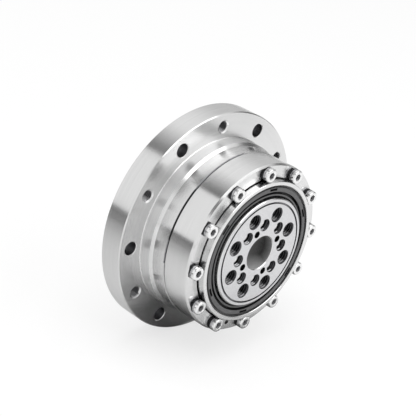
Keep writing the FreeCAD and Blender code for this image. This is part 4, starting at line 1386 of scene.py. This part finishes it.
@dataclass
class BentCard(DarkCard):
    """A card bent round the shaft, with its stops in degrees about the shaft from +X towards +Z."""

    radius: float = 700.0
    near: float = -250.0
    far: float = 1500.0
    steps: int = 36

    def build(self) -> None:
        """Spins the card and writes how dark it is along its sweep."""
        bm = bmesh.new()
        first, last = self.stops[0][0], self.stops[-1][0]
        ends = [bm.verts.new((self.radius * MM, y * MM, 0.0)) for y in (self.near, self.far)]
        edge = bm.edges.new(ends)
        start = Matrix.Rotation(math.radians(-first), 3, "Y")
        bmesh.ops.rotate(bm, verts=ends, cent=ORIGIN, matrix=start)
        bmesh.ops.spin(
            bm,
            geom=ends + [edge],
            cent=ORIGIN,
            axis=(0.0, -1.0, 0.0),
            angle=math.radians(last - first),
            steps=self.steps,
        )
        layer = bm.verts.layers.float.new("dark")
        for vert in bm.verts:
            turned = math.degrees(math.atan2(vert.co.z, vert.co.x))
            vert[layer] = self.dark_at(first + (turned - first + 90.0) % 360.0 - 90.0)
        self.hang(bm)


@dataclass
class RoundCard(DarkCard):
    """A round card, with its stops in mm from its middle, cut off past back_edge."""

    middle: Point
    facing: Point = LOCAL_AXIS
    back_edge: float = 5000.0
    sides: int = 48

    def build(self) -> None:
        """Makes rings out from the middle and writes how dark each is."""
        bm = bmesh.new()
        loops = [ring_loop(bm, reach, 0.0, self.sides) for reach, _ in self.stops]
        bmesh.ops.edgeloop_fill(bm, edges=loops[0])
        for inner, outer in zip(loops, loops[1:]):
            bmesh.ops.bridge_loops(bm, edges=inner + outer)
        layer = bm.verts.layers.float.new("dark")
        for vert in bm.verts:
            vert[layer] = self.dark_at(vert.co.length / MM)
        turn = Vector(self.facing).to_track_quat("Z", "Y").to_matrix()
        bmesh.ops.rotate(bm, verts=bm.verts[:], cent=ORIGIN, matrix=turn)
        bmesh.ops.translate(bm, vec=Vector(self.middle) * MM, verts=bm.verts[:])
        cut_off(bm, (0.0, self.back_edge * MM, 0.0), (0.0, 1.0, 0.0))
        self.hang(bm)


@dataclass
class Softbox:
    """An area lamp that looks at the gearbox; its lengths are in metres and its power in watts."""

    name: str
    place: Point
    width: float
    height: float
    power: float
    in_reflections: bool = True
    aim: Point = (0.0, -0.02, 0.0)

    def build(self) -> None:
        """Adds the lamp."""
        lamp = bpy.data.lights.new(self.name, "AREA")
        lamp.shape = "RECTANGLE"
        lamp.size = self.width
        lamp.size_y = self.height
        lamp.energy = self.power
        held = linked(self.name, lamp)
        held.location = self.place
        held.rotation_mode = "QUATERNION"
        held.rotation_quaternion = (Vector(self.aim) - held.location).to_track_quat("-Z", "Y")
        held.visible_glossy = self.in_reflections


@dataclass
class Studio:
    """The white floor and surroundings, the lamps and cards, and the camera."""

    white: str = "#ffffff"
    floor_level: float = -46.75
    floor_half: float = 6000.0
    floor_colour: str = "#f7f7f7"
    floor_lift: float = 0.7
    card_level: float = -46.6
    fill: float = 0.62
    back: Point = (-0.6731, -0.5845, 0.4530)
    up: Point = (0.2357, 0.4110, 0.8806)
    target: Point = (0.0, -9.8, 0.0)
    distance: float = 444.1
    lens: float = 97.49
    sensor: float = 36.0
    shift_up: float = 0.0349
    clip: tuple[float, float] = (10.0, 50000.0)

    def build(self) -> None:
        """Sets up everything round the gearbox."""
        self.floor()
        self.surroundings()
        self.lamps()
        self.camera()
        bpy.context.scene.view_settings.view_transform = "Standard"

    def floor(self) -> None:
        """Lays the pale floor just under the flange: matt paper that the camera sees lifted to white."""
        bm = bmesh.new()
        bmesh.ops.create_grid(bm, x_segments=1, y_segments=1, size=self.floor_half * MM)
        bmesh.ops.translate(bm, vec=(0.0, 0.0, self.floor_level * MM), verts=bm.verts[:])
        paper = bare_material("white studio paper")
        tree = paper.node_tree
        matt = add_node(
            tree,
            "ShaderNodeBsdfPrincipled",
            inputs={"Base Color": linear(self.floor_colour), "Roughness": 0.9, "Specular IOR Level": 0.1},
        ).outputs[0]
        seen = add_node(tree, "ShaderNodeLightPath").outputs["Is Camera Ray"]
        lift = add_node(
            tree, "ShaderNodeMath", {"operation": "MULTIPLY"}, {0: seen, 1: self.floor_lift}
        ).outputs[0]
        bright = add_node(tree, "ShaderNodeEmission", inputs={"Color": linear(self.white)}).outputs[0]
        mixed = add_node(tree, "ShaderNodeMixShader", inputs={0: lift, 1: matt, 2: bright}).outputs[0]
        add_node(tree, "ShaderNodeOutputMaterial", inputs={"Surface": mixed})
        staged("floor", bm, paper)

    def surroundings(self) -> None:
        """Makes a white room: full white to the eye and to reflections, softer as fill light."""
        world = bpy.data.worlds.new("white room")
        bpy.context.scene.world = world
        world.use_nodes = True
        tree = world.node_tree
        tree.nodes.clear()
        path = add_node(tree, "ShaderNodeLightPath").outputs
        seen = path["Is Camera Ray"]
        for other in ("Is Glossy Ray", "Is Transmission Ray"):
            seen = add_node(
                tree, "ShaderNodeMath", {"operation": "MAXIMUM"}, {0: seen, 1: path[other]}
            ).outputs[0]
        strength = add_node(
            tree, "ShaderNodeMapRange", inputs={"Value": seen, "To Min": self.fill, "To Max": 1.0}
        ).outputs[0]
        sky = add_node(
            tree, "ShaderNodeBackground", inputs={"Color": linear(self.white), "Strength": strength}
        ).outputs[0]
        add_node(tree, "ShaderNodeOutputWorld", inputs={"Surface": sky})

    def lamps(self) -> None:
        """Hangs the softboxes and the dark cards, and lays the painted floor shade that only reflections see.
        """
        level = self.card_level
        for hung in (
            Softbox("front_softbox", (0.18, -0.61, 0.585), 0.8, 0.36, 1.45),
            Softbox("key_softbox", (-0.3, -0.2, 1.6), 1.4, 1.4, 15.0, in_reflections=False),
            BentCard("right_card", ((-20.0, 0.3), (5.0, 0.34), (34.0, 0.32), (50.0, 0.12), (62.0, 0.0))),
            BentCard("upper_card", ((80.0, 0.0), (96.0, 0.45), (108.0, 0.8), (114.0, 0.85))),
            BentCard("left_card", ((176.0, 0.95), (179.0, 0.8), (184.5, 0.66))),
            BentCard(
                "side_card",
                ((3.0, 0.1), (8.0, 0.65), (14.0, 0.8), (20.0, 0.92), (26.0, 0.8), (32.0, 0.5), (37.0, 0.0)),
                radius=650.0,
                near=-300.0,
                far=-20.0,
            ),
            BentCard(
                "front_right_card",
                ((-6.0, 0.6), (9.0, 0.6), (16.0, 0.35), (24.0, 0.0)),
                near=-700.0,
                far=-330.0,
            ),
            # Painted floor shade, seen only in reflections: the floor darker far to the left and to the front
            # right.
            RoundCard(
                "painted_floor_shade_left",
                (
                    (100.0, 0.6), (206.0, 0.57), (294.0, 0.5), (360.0, 0.4),
                    (440.0, 0.26), (520.0, 0.16), (640.0, 0.0),
                ),
                (-420.0, 350.0, level),
            ),
            RoundCard(
                "painted_floor_shade_right",
                ((60.0, 0.6), (140.0, 0.55), (200.0, 0.3), (260.0, 0.0)),
                (430.0, -310.0, level),
            ),
            # Painted shadow, seen only in reflections: the floor's contact shadow under the body.
            RoundCard(
                "painted_floor_shadow",
                (
                    (6.0, 0.55), (12.0, 0.72), (18.0, 0.86), (22.0, 0.84), (27.0, 0.76),
                    (33.0, 0.65), (41.0, 0.5), (46.0, 0.32), (58.0, 0.15), (75.0, 0.0),
                ),
                (8.0, -14.0, level),
                back_edge=-4.0,
            ),
            RoundCard(
                "camera_card",
                ((60.0, 0.88), (95.0, 0.84), (115.0, 0.35), (140.0, 0.0)),
                (-279.0, -351.0, 398.0),
                facing=(0.465, 0.585, -0.664),
            ),
        ):
            hung.build()

    def camera(self) -> None:
        """Places the camera at the photograph's viewing angle."""
        back, up = Vector(self.back).normalized(), Vector(self.up)
        right = up.cross(back).normalized()
        up = back.cross(right)
        lens = bpy.data.cameras.new("camera")
        lens.lens = self.lens
        lens.sensor_width = self.sensor
        lens.shift_y = self.shift_up
        lens.clip_start, lens.clip_end = (reach * MM for reach in self.clip)
        held = linked("camera", lens)
        held.location = Vector(self.target) * MM + back * self.distance * MM
        held.rotation_mode = "QUATERNION"
        held.rotation_quaternion = Matrix((right, up, back)).transposed().to_quaternion()
        bpy.context.scene.camera = held


def main() -> None:
    """Builds the pieces in order, dresses the rest and sets up the studio."""
    logging.basicConfig(level=logging.INFO, format="%(message)s")
    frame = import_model()
    SplineHousing().build(frame)
    FrontRing().build(frame)
    output = OutputFlange()
    output.build(frame)
    output.screw_threads()
    CupScrews().build(frame)
    RingScrews().build()
    OutputSeal().build()
    FlexCup().build(frame)
    PlainPieces(frame).dress()
    Studio().build()


if __name__ == "__main__":
    main()
